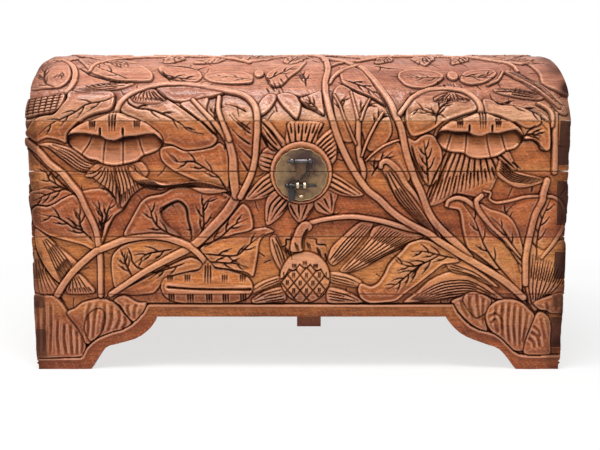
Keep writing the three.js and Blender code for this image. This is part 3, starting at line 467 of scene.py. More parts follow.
# The carving, the flowers' beards and the narrow leaves
# Sepals, reeds and rays are cut as bundles of strands: a low blade with many V-tool cuts fanning
# from its root. They fill the spaces under the flowers and beside the fruit.
strand_gap, ray_gap, beard_gap = 5.4, 8.0, 8.2
bundles = [
    # under the left flower: left sweep, beard, right sweep
    ([(36, 145), (48, 148), (60, 158), (72, 168), (84, 172), (96, 175), (99, 166), (88, 161), (74, 150),
      (50, 143)],
     [(98, 172), (80, 172), (62, 160), (44, 147)], [(98, 166), (84, 162), (70, 152), (52, 145)], strand_gap),
    ([(96, 164), (118, 166), (140, 162), (148, 172), (142, 180), (132, 186), (127, 196), (118.6, 208),
      (112, 194), (100, 184), (92, 178), (84, 176)],
     [(104, 166), (96, 174), (88, 177)], [(112, 167), (118, 186), (119, 206)], strand_gap),
    ([(114, 166), (132, 165), (140, 172), (147, 184), (138, 190), (130, 197), (121, 208), (118, 190)],
     [(116, 168), (121, 188), (120, 205)], [(134, 167), (140, 177), (146, 184)], strand_gap),
    ([(128, 166), (136, 172), (150, 180), (170, 184), (200, 181), (222, 186), (231, 191), (206, 194),
      (182, 186), (160, 190), (142, 186), (130, 176)],
     [(132, 170), (160, 186), (196, 183), (226, 190)], [(130, 174), (140, 184), (158, 188), (176, 186)],
     strand_gap),
    # the rays round the lock
    ([(289, 146), (284, 140), (276, 130), (268, 120), (262, 118), (262, 134), (272, 146), (281, 156)],
     [(284, 150), (274, 136), (263, 122)], [(280, 156), (268, 148), (262, 138)], ray_gap),
    ([(288, 146), (286, 132), (289, 122), (300, 119), (314, 121), (323, 124), (318, 134), (314, 146)],
     [(292, 145), (290, 134), (288, 124)], [(312, 144), (317, 134), (322, 124)], ray_gap),
    ([(314, 146), (320, 138), (328, 131), (336, 128), (337, 146), (336, 160), (328, 166), (322, 156)],
     [(317, 147), (326, 138), (335, 131)], [(325, 162), (331, 158), (336, 154)], ray_gap),
    ([(280, 158), (270, 154), (261, 154), (258, 163), (262, 170), (276, 172)],
     [(278, 162), (269, 158), (261, 156)], [(276, 170), (268, 169), (260, 166)], ray_gap),
    ([(274, 172), (262, 178), (252, 188), (244.6, 199.6), (255, 200), (267, 197), (279, 190)],
     [(275, 174), (262, 182), (248, 197)], [(279, 188), (268, 195), (256, 199)], ray_gap),
    ([(278, 190), (268, 197), (265, 208), (266.4, 225.6), (278, 219), (286, 210), (290, 202)],
     [(280, 194), (270, 205), (267, 222)], [(290, 203), (284, 211), (272, 222)], ray_gap),
    ([(288, 203), (291, 214), (300, 223.5), (310, 214), (317, 204), (308, 200), (296, 200)],
     [(291, 205), (295, 214), (300, 222)], [(315, 205), (308, 214), (301, 222)], ray_gap),
    ([(314, 203), (318, 212), (332, 215), (335, 204), (338, 193), (328, 187), (320, 192)],
     [(318, 203), (324, 209), (331, 214)], [(334, 192), (334, 202), (332, 212)], ray_gap),
    ([(329, 173), (338, 176), (350, 184), (364, 195), (352, 197), (338.6, 194.6), (326, 187)],
     [(331, 175), (344, 182), (361, 194)], [(327, 186), (338, 192), (350, 196)], ray_gap),
    # under the right flower
    ([(452, 152), (474, 156), (492, 156), (508, 150), (514, 160), (518, 170), (508, 174), (499, 177),
      (492, 190), (484, 198), (470, 196), (456, 194), (444, 202), (430, 206), (437, 190), (446, 172)],
     [(452, 152), (442, 174), (431, 203)], [(498, 154), (506, 163), (514, 172)], beard_gap),
    ([(500, 160), (512, 170), (526, 174), (547, 180), (534, 186), (519, 188), (506, 182), (497, 174)],
     [(502, 162), (516, 174), (544, 180)], [(500, 172), (512, 181), (532, 184)], strand_gap),
    # beside the fruit
    ([(270, 238), (276, 236), (282, 248), (288, 262), (284, 274), (277, 266), (271, 252)],
     [(272, 240), (276, 254), (282, 270)], [(276, 238), (282, 250), (286, 264)], strand_gap),
    ([(252, 289), (262, 282), (279, 277), (281, 284), (266, 290), (254, 294)],
     [(278, 279), (266, 283), (254, 290)], [(280, 284), (268, 289), (256, 293)], strand_gap),
    ([(252, 300), (264, 292), (281, 288), (286, 300), (272, 303), (254, 304)],
     [(282, 290), (266, 294), (254, 300)], [(284, 300), (270, 302), (256, 303)], strand_gap),
    ([(328, 260), (332, 248), (342, 238), (354, 227), (362, 222), (374, 224), (362, 240), (348, 255),
      (334, 266)],
     [(330, 260), (344, 242), (362, 225)], [(334, 265), (348, 252), (370, 227)], strand_gap),
    ([(340, 271), (354, 256), (368, 240), (374, 228), (388, 224), (404, 229), (424, 237), (408, 243),
      (388, 254), (366, 267), (350, 273)],
     [(344, 270), (364, 250), (384, 228)], [(350, 273), (380, 258), (418, 240)], strand_gap),
    ([(331, 273), (346, 274), (362, 282), (358, 288), (344, 286), (330, 282)],
     [(332, 275), (348, 278), (360, 284)], [(332, 281), (346, 285), (357, 287)], strand_gap),
    ([(328, 289), (342, 290), (358, 298), (364, 303), (346, 304), (328, 303)],
     [(330, 291), (346, 295), (361, 302)], [(330, 300), (346, 302), (360, 303)], strand_gap),
    # along the lower right stem
    ([(430, 281), (448, 273), (464, 273), (480, 280), (500, 296), (504, 300), (484, 298), (464, 296),
      (444, 300), (424, 302), (404, 303), (418, 292)],
     [(498, 298), (470, 282), (440, 284), (412, 300)], [(498, 301), (474, 296), (450, 298), (424, 302)],
     strand_gap),
    ([(446, 262), (458, 259), (472, 266), (486, 276), (500, 288), (486, 284), (470, 276), (452, 272)],
     [(452, 264), (474, 272), (494, 286)], [(450, 270), (470, 275), (490, 284)], strand_gap),
    ([(536, 312), (524, 290), (520, 262), (528, 242), (544, 250), (556, 242), (567, 244), (568, 290),
      (562, 296), (548, 296)],
     [(530, 306), (524, 284), (524, 252)], [(544, 300), (558, 286), (567, 268)], strand_gap),
    # the lid's fans, between stem and leaf
    ([(130, 94), (142, 90), (156, 88), (166, 97), (158, 103), (146, 103), (134, 101)],
     [(141, 90), (137, 94), (134, 99)], [(152, 90), (157, 96), (164, 100)], strand_gap),
    ([(72, 88), (90, 83), (112, 81), (134, 82), (122, 87), (100, 90), (80, 91)],
     [(130, 83), (104, 82), (76, 88)], [(128, 85), (108, 88), (84, 90)], strand_gap),
    ([(494, 88), (510, 86), (530, 89), (546, 94), (540, 98), (520, 96), (500, 92)],
     [(496, 88), (518, 88), (544, 94)], [(498, 91), (518, 94), (538, 97)], strand_gap),
    ([(505, 70), (516, 70), (530, 77), (545, 85), (558, 94), (569, 112), (560, 112), (548, 98), (530, 86)],
     [(506, 71), (534, 84), (564, 111)], [(514, 70), (544, 84), (568, 110)], strand_gap),
    ([(434, 96), (452, 91), (470, 95), (466, 101), (452, 99), (438, 102)],
     [(450, 92), (442, 96), (436, 101)], [(454, 92), (462, 96), (468, 99)], strand_gap),
    # between the two middle stems, and the reeds by the left foot
    ([(381, 167), (388, 162), (396, 168), (406, 184), (415, 196), (421, 206), (430, 222), (440, 238),
      (426, 228), (412, 216), (400, 203), (390, 184)],
     [(390, 170), (408, 196), (436, 234)], [(386, 174), (398, 200), (426, 228)], strand_gap),
    ([(34, 229), (44, 235), (56, 246), (69, 256), (78, 266), (70, 276), (62, 285), (52, 278), (42, 264),
      (35, 248)],
     [(38, 232), (50, 256), (62, 283)], [(40, 233), (58, 250), (74, 270)], 4.0),
    ([(33, 250), (40, 264), (50, 278), (60, 287), (58, 294), (35, 294)],
     [(35, 256), (37, 276), (40, 293)], [(38, 258), (48, 276), (58, 290)], 4.0),
    ([(70, 278), (78, 274), (86, 281), (94, 293), (66, 294)],
     [(70, 280), (70, 286), (68, 293)], [(78, 276), (84, 284), (90, 292)], strand_gap),
]
for outline, first, last, gap in bundles:
    sheet.blade(seen(*outline), -3.4, crown=1.6, crown_reach=11, trench=1.4)
    sheet.fringe(curve(seen(*first)), curve(seen(*last)), gap, width=2.0 + 0.4 * (gap - strand_gap),
                 depth=0.4 * gap)

# The carving, veins and folds
# The leaves' veins are single V-tool cuts with short forks; a fold is a cut that runs the whole
# length of a leaf. Each list is one rib, from the leaf's foot toward its tip.
forked_veins = [
    (5, 13, [(115, 95), (105, 100), (95, 102), (84, 105), (74, 112), (61, 118), (46, 127), (37, 135)]),
    (3, 11, [(127, 98), (129, 103), (137, 107), (148, 108.6), (157, 111), (168, 116), (181, 124),
             (189, 131), (203, 134)]),
    (4, 12, [(226, 190), (218, 177), (207, 170), (193, 162), (176, 162), (166, 152)]),
    (3, 10, [(66, 190), (56, 185), (48, 180), (46, 174), (39, 165)]),
    (3, 12, [(66, 189), (55, 192), (44, 196), (33, 201)]),
    (3, 13, [(92, 242), (88, 237), (81, 231), (73, 228), (64, 222), (55, 217), (46, 216), (36, 213)]),
    (2, 12, [(82, 232), (79, 224), (79, 218), (75, 211)]),
    (2, 10, [(100, 240), (101, 226), (101, 214), (91.5, 202)]),
    (2, 10, [(101, 238), (104, 222), (108, 209), (112, 200)]),
    (4, 12, [(183, 239), (171, 235), (165, 232), (157, 226), (152, 218), (150, 210), (145, 202)]),
    (4, 12, [(197, 240), (203, 228), (203, 214), (203, 207), (208, 200), (216, 197)]),
    (3, 12, [(171, 250), (160, 252), (148, 254), (138, 261), (134, 264)]),
    (3, 10, [(131, 276), (127, 268), (124, 260), (125, 252)]),
    (3, 12, [(205, 247), (222, 236), (233, 226), (247, 219)]),
    (3, 12, [(204, 254), (226, 256), (238, 255), (248, 246), (264, 234)]),
    (2, 10, [(206, 262), (222, 263), (236, 264), (248, 268)]),
    (2, 10, [(184, 264), (172, 268), (160, 272), (148, 280)]),
    (4, 12, [(429, 184), (428, 172), (427, 160), (425, 149), (424, 141)]),
    (3, 12, [(492, 95), (500, 102), (518, 104), (532, 110), (541, 116), (543, 124), (548, 130)]),
    (3, 10, [(524, 136), (532, 134), (541, 136)]),
    (4, 12, [(537, 260), (538, 240), (541, 224), (548, 206), (551, 200)]),
    (3, 12, [(520, 262), (512, 244), (506, 226), (508, 212), (516, 203)]),
    (3, 10, [(446, 117), (440, 113), (430, 112), (420, 108), (410, 112)]),
    (3, 10, [(436, 124), (438, 112), (444, 104), (456, 100)]),
    (2, 9, [(306, 84), (305, 76), (300, 69)]),
    (2, 9, [(253, 79), (238, 77), (222, 75), (210, 76)]),
    (2, 9, [(268, 79), (282, 72), (296, 65)]),
    (3, 10, [(443, 77), (430, 77), (416, 77), (406, 74)]),
    (3, 10, [(461, 75), (472, 76), (484, 76), (494, 71)]),
    (3, 10, [(346, 79), (357, 83), (369, 88), (380, 97)]),
    (2, 9, [(344, 112), (341, 102), (346, 96)]),
    (2, 9, [(360, 112), (366, 104), (376, 102)]),
    (2, 9, [(376, 128), (380, 116), (388, 112)]),
    (3, 12, [(128, 78), (112, 72), (98, 66), (88, 60)]),
    (3, 11, [(162, 70), (168, 76), (182, 77), (196, 78)]),
    (3, 11, [(54, 86), (45, 82), (42, 76), (36, 71)]),
    (2, 9, [(45, 82), (44, 72), (49, 64)]),
    (2, 9, [(62, 71), (58, 77)]),
    (2, 9, [(318, 108), (312, 102), (306, 98)]),
    (2, 10, [(372, 176), (380, 164), (392, 152)]),
    (2, 10, [(217, 128), (214, 112), (216, 100)]),
]
for count, length, rib in forked_veins:
    sheet.forks(seen(*rib), count, length)

folds = [
    [(250, 134), (238, 124), (229, 113)], [(250, 130), (240, 122), (232, 112)],
    [(246, 110), (235, 104), (225, 102)], [(250, 145), (240, 138), (232, 130)],
    [(252, 160), (244, 152), (238, 146)], [(248, 172), (243, 164), (239, 158)],
    [(262, 122), (272, 132), (282, 144)], [(258, 132), (268, 142), (276, 152)],
    [(155, 88), (164, 96), (178, 104), (190, 112), (202, 122),
                                           (212, 134)],
    [(339, 80), (354, 88.6), (377, 98), (388, 106)], [(79, 66), (91, 73), (107, 78), (126, 81), (152, 82)],
    [(158, 66), (170, 65), (186, 66), (206, 71)], [(505, 72), (516, 77), (529, 83)],
    [(294, 93), (302, 95), (311, 92), (321, 89)], [(298, 97), (306, 105), (318, 109), (323, 114)],
    [(375, 64), (388, 66), (404, 67)], [(108, 58), (122, 61), (140, 64)], [(196, 58), (212, 58), (226, 59)],
    [(312, 58), (320, 60)], [(128, 249), (131, 256), (132, 262), (138, 268), (149, 270), (160, 266)],
    [(60, 283), (66, 273), (72, 264)], [(412, 146), (416, 160), (424, 178)],
    [(524, 140), (534, 140), (541, 146), (547, 152)], [(331, 214), (345, 217), (352, 217)],
]
for fold in folds:
    sheet.cut(seen(*fold), width=3.4, depth=2.6, lift=0.9, run_out=0.5)

# a deep hollow among the left leaves shows the ground between them
sheet.blade(seen((160, 209), (165, 206), (172, 203), (178, 201.5), (184, 205), (187, 213), (187, 220),
                 (190, 229), (190, 240), (183, 238), (175, 231), (168, 226), (162, 218)), -4.4, crown=0.3,
                 trench=0.4)
hollow_edge = seen((160, 212), (166, 206), (178, 201), (186, 208), (188, 220), (191, 232), (192, 244))
sheet.cut(hollow_edge, width=4.4, depth=3.2, lift=1.6, run_out=0.2)

# The carving, folded and curling leaves
# Four leaves by the lower right turn over at their edges. The turned edge stands proud like a
# cord, and the blade falls away behind it.
sheet.blade(seen((421, 240), (409, 244), (402, 252), (390, 264), (384, 276), (378, 284), (371, 287),
                 (361, 284), (358, 291), (361, 299), (370, 303.6), (387, 303), (397, 301), (407, 293),
                 (418, 285), (432, 274), (444, 265), (460, 262), (452, 252), (440, 246), (430, 241)), -2.8,
                 crown=1.2, rim=0.9)
sheet.forks(seen((456, 259), (441, 256), (425, 252), (412, 252)), 3, 12)
sheet.forks(seen((440, 256), (424, 264), (413, 267), (400, 264), (396, 260)), 4, 13)
sheet.forks(seen((424, 264), (410, 274), (398, 284), (388, 290)), 4, 12)
sheet.blade(seen((446, 203), (450, 199), (458, 197), (467, 200), (474.5, 206.5), (482, 216), (490, 228),
                 (507, 241), (521, 261), (522, 292), (506, 280), (492, 266), (476.5, 254), (468, 248),
                 (463, 229), (461, 215), (458, 210), (448, 208)), -2.4, crown=0.9, rim=0.6)
sheet.forks(seen((514, 284), (498, 266), (486, 248), (481, 236), (475, 220), (464, 204)), 4, 12)
sheet.stem(seen((447, 206), (449, 201), (457, 198), (466, 200), (475, 207), (483, 217), (492, 230),
                (507, 242), (518, 256), (522, 272)), [6, 9, 8, 7, 5], top=-0.5, fall=3.0, trench=0.8)
sheet.blade(seen((478, 206), (482, 204), (490, 209), (503, 213), (512, 219), (519, 232), (524, 252),
                 (524, 268), (510, 250), (499, 236), (490, 225), (482, 215)), -1.4, crown=1.4, rim=0.3)
sheet.forks(seen((522, 262), (512, 244), (502, 228), (492, 218)), 2, 9)
sheet.stem(seen((482, 196), (477, 201), (478, 208), (484, 217), (493, 228), (506, 240), (521, 258)),
           [9, 10, 7, 6, 4], top=-0.4, fall=3.4, trench=1.2)
turned_edge = [(484, 191), (491, 193), (490, 199), (497, 203), (511, 201), (526, 197), (541, 196.5),
               (553, 197), (561, 202), (565, 212), (564, 226), (555, 242), (542, 258)]
sheet.stem(seen(*turned_edge), [4, 4.5, 4.5, 6, 8, 5], top=-1.0, fall=1.6, trench=0.8)
sheet.stem(seen((381, 167), (382, 163), (387, 161), (394, 166), (400, 173), (406, 184), (415, 195),
                (422, 206), (432, 222), (441, 238)), [8, 12, 10, 6, 5, 4], top=-0.8, fall=2.8, trench=1.0)
sheet.stem(seen((366, 161), (373, 154), (384, 146), (396, 141), (403, 140)), [3, 4, 4, 3], top=-1.6,
           fall=1.2, trench=0.6)

# The carving, the crown of the lid
# Past the line of sight the drawing goes on over the crown, in millimetres across and up the
# sheet: more leaves, two rosettes on the crown itself, and the two stems that curl behind.
crown_up = rail_top + section_length / 2
crown_leaves = [
    ((-110, 660), (-20, 706), 50, 10), ((150, 684), (62, 732), 50, -10), ((-330, 690), (-456, 732), 58, 12),
    ((346, 690), (462, 738), 58, -12), ((-160, 700), (-96, 764), 46, -10), ((-340, 700), (-392, 768), 46, 10),
    ((186, 706), (150, 770), 44, 8), ((346, 706), (394, 768), 46, -8), ((30, 716), (96, 764), 40, 8),
    ((18, 742), (-60, 768), 36, -6), ((-250, 704), (-262, 640), 42, 8), ((262, 706), (246, 628), 44, -8),
    ((-380, 650), (-330, 616), 34, 4), ((-20, 640), (20, 700), 36, 8), ((-150, 690), (-206, 640), 36, 6),
    ((180, 690), (150, 640), 32, 4), ((-440, 690), (-490, 640), 40, -6), ((400, 660), (480, 640), 44, 8),
    ((-420, 760), (-490, 768), 34, 4), ((420, 760), (490, 766), 34, -4), ((330, 700), (300, 636), 34, 4),
]
for foot, tip, width, bend in crown_leaves:
    sheet.leaf(foot, tip, width, bend)
rosette_reach = 62.0
rosette_places = [(-250.0, crown_up), (250.0, crown_up)]
petal_count = 12


def rosette(board, middle, reach):
    """A round flower of pointed petals about a domed knob."""
    middle = np.array(middle)
    for k in range(petal_count):
        way = np.array([math.cos(2 * math.pi * k / petal_count), math.sin(2 * math.pi * k / petal_count)])
        board.leaf(middle + way * 14, middle + way * reach, 28, 0, level=-2.2, rim=0.5, veins=2)
    knob_turn = np.linspace(0, 2 * math.pi, 20, endpoint=False)
    knob = middle + 17 * np.stack([np.cos(knob_turn), np.sin(knob_turn)], 1)
    board.blade(knob, -1.2, crown=1.1, crown_reach=17, trench=3.0)
    for k in range(8):
        way = np.array([math.cos(k * math.pi / 4), math.sin(k * math.pi / 4)])
        board.cut(np.array([middle + way * 4, middle + way * 8, middle + way * 13]), width=2.4, depth=1.5,
                  lift=0.0)


for place in rosette_places:
    rosette(sheet, place, rosette_reach)

# The carving, the ground
# Short strokes of the gouge roughen the low ground between the leaves. Each runs away from the
# nearest leaf's edge, and none of them marks the leaves.


def hatch(board, count, seed, floor=-4.7):
    """Seeded short strokes over the low ground."""
    draw = np.random.default_rng(seed)
    before = board.high.copy(), board.dark.copy()
    slope_up, slope_across = np.gradient(blurred(board.high, 5))
    for _ in range(count):
        row = draw.integers(6, len(board.up) - 6)
        col = draw.integers(6, len(board.across) - 6)
        steep = math.hypot(slope_up[row, col], slope_across[row, col])
        downhill = -np.array([slope_across[row, col], slope_up[row, col]]) / max(steep, 1e-6)
        way = downhill + draw.normal(0, 0.12, 2)
        length = draw.uniform(10, 26)
        bend = np.array([-way[1], way[0]]) * draw.normal(0, 1.2)
        width, depth = draw.uniform(1.6, 2.4), draw.uniform(0.5, 1.2)
        if before[0][row, col] < floor and steep > 0.004:
            start = np.array([board.across[col], board.up[row]])
            board.cut(np.array([start, start + way * length / 2 + bend, start + way * length]), width,
                      depth, lift=0.15)
    low = eased((floor + 0.7 - before[0]) / 0.7)
    board.high = before[0] * (1 - low) + board.high * low
    board.dark = before[1] * (1 - low) + board.dark * low


hatch(sheet, 700, 5)

# The carving, stems
# Long round stems climb from the feet over the front and the lid. They were left at full height
# and rounded over, so they cross above all the leaves.
stem_slimness = 0.84
stems = [
    ([15, 14, 13, 12], [(24, 141), (38, 152), (49, 164), (61, 173), (70, 184), (78.5, 194), (85.4, 209),
                        (92, 222), (96, 233), (98, 247), (99.5, 262), (100, 296)]),
    ([7, 7, 7], [(325, 68), (340, 62), (357, 60)]),
    ([12, 12, 11], [(361.5, 184), (364, 172), (360, 158), (358.5, 144), (358.5, 130), (359, 118)]),
    ([5, 6, 7], [(351, 91), (354, 102), (358, 118)]),
    ([5, 6, 6], [(370, 98), (365, 108), (361, 120)]),
    ([5, 5, 5], [(334, 94), (340, 104), (344, 116), (349, 128), (356, 144)]),
    ([6, 6, 5], [(383, 112), (376, 124), (368, 140), (362, 156)]),
    ([15, 15, 14], [(548, 181), (544, 195), (543, 201), (536, 214), (532, 229), (528.5, 245), (526, 260),
                    (526, 284)]),
    ([12, 12, 13], [(556, 113), (556, 130), (556, 150), (555.5, 172)]),
    ([7, 9, 8], [(539, 102), (549, 108), (553, 114), (553, 126)]),
    ([12, 13, 12, 11], [(64, 92), (70, 86), (74, 79), (75, 71), (72, 64), (64, 59.5), (56, 59)]),
    ([4, 5, 5], [(502, 70), (518, 77), (534, 86), (548, 96), (560, 107)]),
    ([7, 7, 6], [(444, 84), (424, 89), (412, 92)]),
    ([5, 6, 6], [(488, 84), (498, 79), (503, 71)]),
    ([10, 10, 11, 11, 12, 12], [(311, 223), (323, 220), (339, 217.6), (354, 217), (369, 219), (384.5, 222),
                                (402, 227), (418, 231)]),
    ([12, 14, 18, 20, 22], [(110, 295), (125, 285), (143, 273), (159, 264), (174, 256), (186, 250),
                            (198, 242), (214, 226), (226, 213), (234, 201), (238, 190)]),
    ([19, 20, 17, 14], [(236, 196), (234, 184), (233, 172), (232.5, 158), (229, 144), (224, 136)]),
    ([10, 11, 12], [(193, 99), (201, 108), (212, 120), (226, 138)]),
    ([10, 11, 12], [(219, 96), (218, 108), (222, 122), (229, 140)]),
    ([14, 13, 14, 14, 14, 13, 12], [(240, 197), (247, 184), (252, 172), (255, 158), (256, 144), (257, 130),
                                    (257, 115), (255, 105), (249, 97), (241, 92.4), (229, 90), (218, 88),
                                    (203, 85), (189, 83), (174, 82.5), (162, 83), (147, 86), (136, 90),
                                    (127, 95), (119, 103), (115, 113)]),
    ([11, 14, 14, 15, 15, 16, 17], [(323, 57), (339, 59), (352, 62.6), (361.5, 66), (369, 73), (377, 82),
                                    (384.5, 92), (391, 102), (395, 112), (398, 119), (402, 130), (405, 145.6),
                                    (408, 158), (412, 170), (416, 181), (421, 191.5), (427, 208),
                                    (433, 219.5), (440, 228), (448, 236), (458, 245), (470, 258)]),
    ([13, 14, 14, 14, 15, 16, 15], [(325.6, 57), (328, 68), (325.6, 79), (325.6, 91), (328, 102), (331, 114),
                                    (335.5, 130), (340, 142.5), (345.5, 155), (351, 165.5), (356, 174),
                                    (361.5, 182), (369, 191.5), (380, 200), (390, 210), (400, 218),
                                    (413, 226), (429, 234), (440, 242), (451.5, 249), (461.5, 255.5),
                                    (478, 265), (495, 275), (508, 284), (524, 298)]),
    ([7, 11, 12], [(330, 82), (334, 75), (342, 69), (356, 64)]),
    ([11, 12, 13, 13], [(400, 113), (405.6, 105), (411, 98), (419, 92.4), (429, 88.6), (440, 87.5),
                        (451.5, 87.5), (463, 89.4), (472, 94), (478, 100), (481, 106), (482, 114)]),
    ([15, 15, 15, 15, 13], [(56, 296), (64, 283), (73, 271.5), (84, 261), (95, 252), (107, 247), (122, 241),
                            (135, 238), (151, 236.3), (166, 238), (178, 242), (188, 246), (197, 253),
                            (204, 261), (208, 270)]),
]
for widths, line in stems:
    sheet.stem(seen(*line), np.array(widths) * stem_slimness)
crown_stems = [
    ([14, 14, 13], [(54, 660), (51, 684), (36, 714), (14, 745), (0, 775), (-14, 803)]),
    ([8, 11, 11, 9, 6], [(-96, 646), (-160, 692), (-240, 706), (-330, 686), (-392, 642), (-400, 600)]),
    ([8, 11, 11, 9, 6], [(115, 653), (180, 696), (260, 708), (346, 686), (410, 636), (420, 600)]),
]
for widths, line in crown_stems:
    sheet.stem(line, widths)
fork_notch = [(224.5, 150), (224.5, 137)]
sheet.cut(seen(*fork_notch), width=3.0, depth=3.0, run_out=0.6)

# The carving, open flowers
# Each side of the lid's rail has one wide flower. Its upper lip swells out over a deep cup, and
# the cup's five petals run forward to a scalloped edge.


def open_flower(board, outline, lip, petal_lines, cut_groups):
    """A wide flower: cup, petals and overhanging lip."""
    outline = curve(outline, closed=True)
    ring = np.vstack([outline, outline[:1]])
    board.blade(outline[::4], -3.0, crown=0.5, trench=3.6)
    window, far, _, _ = board.measure(ring, 30)
    inside = board.enclosed(outline, window)
    lip = curve(lip)
    low_lip = np.interp(board.across[window[1]], lip[:, 0], lip[:, 1])[None, :]
    up = board.up[window[0]][:, None]
    high, dark = board.high[window], board.dark[window]
    bottom = outline[:, 1].min()
    below = low_lip - up
    cup = inside & (below > 0)
    depth = np.clip(below / np.maximum(low_lip - bottom, 1), 0, 1)
    floor = -10.5 + 9.0 * eased(depth * 0.95) - 2.0 * fading(far, 5.0) * (depth < 0.4)
    rolled = 1.6 * fading(far - 2.4, 2.2) - 2.2 * fading(far, 1.3)
    high[:] = np.where(cup, floor + rolled * (depth > 0.15), high)
    # painted shade under the lip, round the cup and along the lip's turned edge, and a painted highlight on
    # the petals as they come forward
    shade = 1 - eased(below / 17) + 0.5 * fading(far, 9.0) * (depth < 0.45)
    dark[:] = np.where(cup, np.clip(shade, 0, 1) * 0.95, dark)
    board.pale_and_highlight[window] = np.where(cup, eased(depth * 1.6 - 0.2), 0.25 * inside)
    over = inside & (below <= 0)
    swell = -0.2 - 2.6 * fading(far, 4.0) - 1.6 * eased(-below / 26)
    turned = 0.6 * fading(below + 3.5, 2.5) - 1.4 * fading(below, 1.6)
    high[:] = np.where(over, swell + turned, high)
    dark[:] = np.where(over, 0.55 * fading(below, 1.6), dark)
    for line in petal_lines:
        line = curve(line)
        spot, near, _, _ = board.measure(line, 14)
        lip_here = np.interp(board.across[spot[1]], lip[:, 0], lip[:, 1])[None, :]
        open_part = board.enclosed(outline, spot) & (lip_here > board.up[spot[0]][:, None])
        board.high[spot] += open_part * (0.9 * fading(near - 3.0, 2.4) - 1.9 * fading(near, 1.3))
        board.dark[spot] = np.maximum(board.dark[spot], open_part * 0.8 * fading(near, 1.2))
    for middle, top, low, spread in cut_groups:
        for k in (-1, 0, 1):
            tick = [[middle + k * spread, top], [middle + k * spread - k * 0.6, (top + low) / 2],
                    [middle + k * spread * 0.8, low]]
            board.cut(np.array(tick), width=3.0, depth=2.2, lift=0.1, run_out=0.3)


def cut_marks(*groups):
    """Groups of three short cuts, from photo pixels: middle, top, bottom and spacing."""
    placed = []
    for middle, top, low, spread in groups:
        ends = seen((middle, top), (middle, low), (middle + spread, top))
        placed.append((ends[0, 0], ends[0, 1], ends[1, 1], ends[2, 0] - ends[0, 0]))
    return placed


left_flower = (
    seen((66, 137), (70, 131), (76.5, 126), (86, 121), (98, 116), (108, 112), (118, 111), (128, 115),
         (138, 119), (147, 124), (154, 129.5), (160, 135), (162.5, 142), (159, 149), (151, 153),
         (142, 156), (136, 161), (124.4, 164), (114, 165.5), (103, 164), (96, 160.5), (88, 159), (80, 154),
         (72, 149), (67, 144)),
    seen((64, 140), (68, 135), (73, 133.5), (82, 133), (92, 134.5), (100, 136), (106, 139.5), (114, 140.5),
         (121, 138), (126, 136.5), (134, 136), (146, 134), (154, 134), (160, 139), (164, 144)),
    [seen((91, 135), (87, 145), (81, 155)), seen((104, 138), (103, 150), (103, 166)),
     seen((121.5, 138), (122, 150), (123, 166)), seen((137, 136), (140, 147), (145, 158))],
    cut_marks((91.5, 120.5, 129, 2.6), (112, 113, 131, 3.2), (136.5, 120, 129, 2.6), (99.5, 128, 137, 0.1),
              (122.4, 128, 137, 0.1)),
)
open_flower(sheet, *left_flower)
open_flower(
    sheet,
    seen((437.4, 138), (440, 131), (446, 125), (456, 119.6), (467, 116), (477, 112), (488, 112), (498, 116),
         (508, 119.6), (517, 125.5), (523, 132), (524.5, 139.5), (517, 148), (507, 151), (498, 156),
         (488, 158), (478, 158.5), (470, 157), (463, 153), (452, 152), (443, 148), (439, 143)),
    seen((436, 137), (440, 132), (446, 130.5), (454, 131.5), (462, 132), (468, 132), (474, 135), (482, 136),
         (490.6, 133), (498, 133.4), (508, 131), (517, 130), (522, 134), (526, 137)),
    [seen((453, 132), (450, 142), (447, 150)), seen((468, 133), (467, 144), (465, 155)),
     seen((488, 134), (489, 146), (491, 158)), seen((503, 133), (505, 144), (507, 153))],
    cut_marks((460.5, 118, 127, 2.6), (483, 111, 129, 3.0), (499, 118, 127, 2.4), (470, 125, 133, 0.1),
              (493, 125, 133, 0.1)),
)

# The carving, closed flower and fruit
# Low on the front lie a closed flower, a split pad with short cuts round its edge, and a fruit
# with a crown of pads over a skin of diamonds, each diamond pricked with two cuts.
bud = curve(seen((160, 288), (161, 283), (164, 278.5), (170, 277), (178, 275), (188, 272.5), (197, 271.5),
                 (202, 266), (207, 260), (212, 265), (215, 269), (226, 270), (234, 272.5), (242, 275),
                 (249, 279), (252.6, 286), (252, 292), (247, 299), (240, 302), (232, 304), (218, 304.6),
                 (200, 304.6), (181, 304), (170, 301), (163, 296)), closed=True)
sheet.blade(bud[::4], -4.4, crown=4.2, crown_reach=24, trench=3.0)
slit = seen((168, 287.5), (190, 289), (210, 289.6), (230, 289.6), (250, 290))
window, far, _, _ = sheet.measure(curve(slit), 8)
sheet.high[window] -= 4.4 * fading(far, 2.3) - 1.6 * fading(far - 5.5, 2.4)
# the slit is dark with stain and painted shade, and a painted highlight lies along its raised lips
sheet.dark[window] = np.maximum(sheet.dark[window], fading(far, 2.1))
sheet.pale_and_highlight[window] = np.maximum(sheet.pale_and_highlight[window], fading(far - 4.6, 1.6))
upper_ticks = cut_marks(*[(middle, 275.5, 281.5, 2.2) for middle in (169.5, 187, 224.5, 242.5)])
lower_ticks = cut_marks(*[(middle, 294, 303, 2.4) for middle in (171, 190, 209, 225.5, 243)])
for ticks, depth in ((upper_ticks, 1.8), (lower_ticks, 2.0)):
    for middle, top, low, spread in ticks:
        for k in (-1, 0, 1):
            aside = middle + k * spread
            sheet.cut(np.array([[aside, top], [aside, low]]), width=2.6, depth=depth, lift=0.0)
for middle, top, low, spread in cut_marks((207.5, 264, 283, 3.0)):
    for k in (-1, 0, 1):
        tick = [[middle + k * spread * 0.8, top - abs(k) * 4], [middle + k * spread, low]]
        sheet.cut(np.array(tick), width=2.8, depth=2.2, lift=0.0)

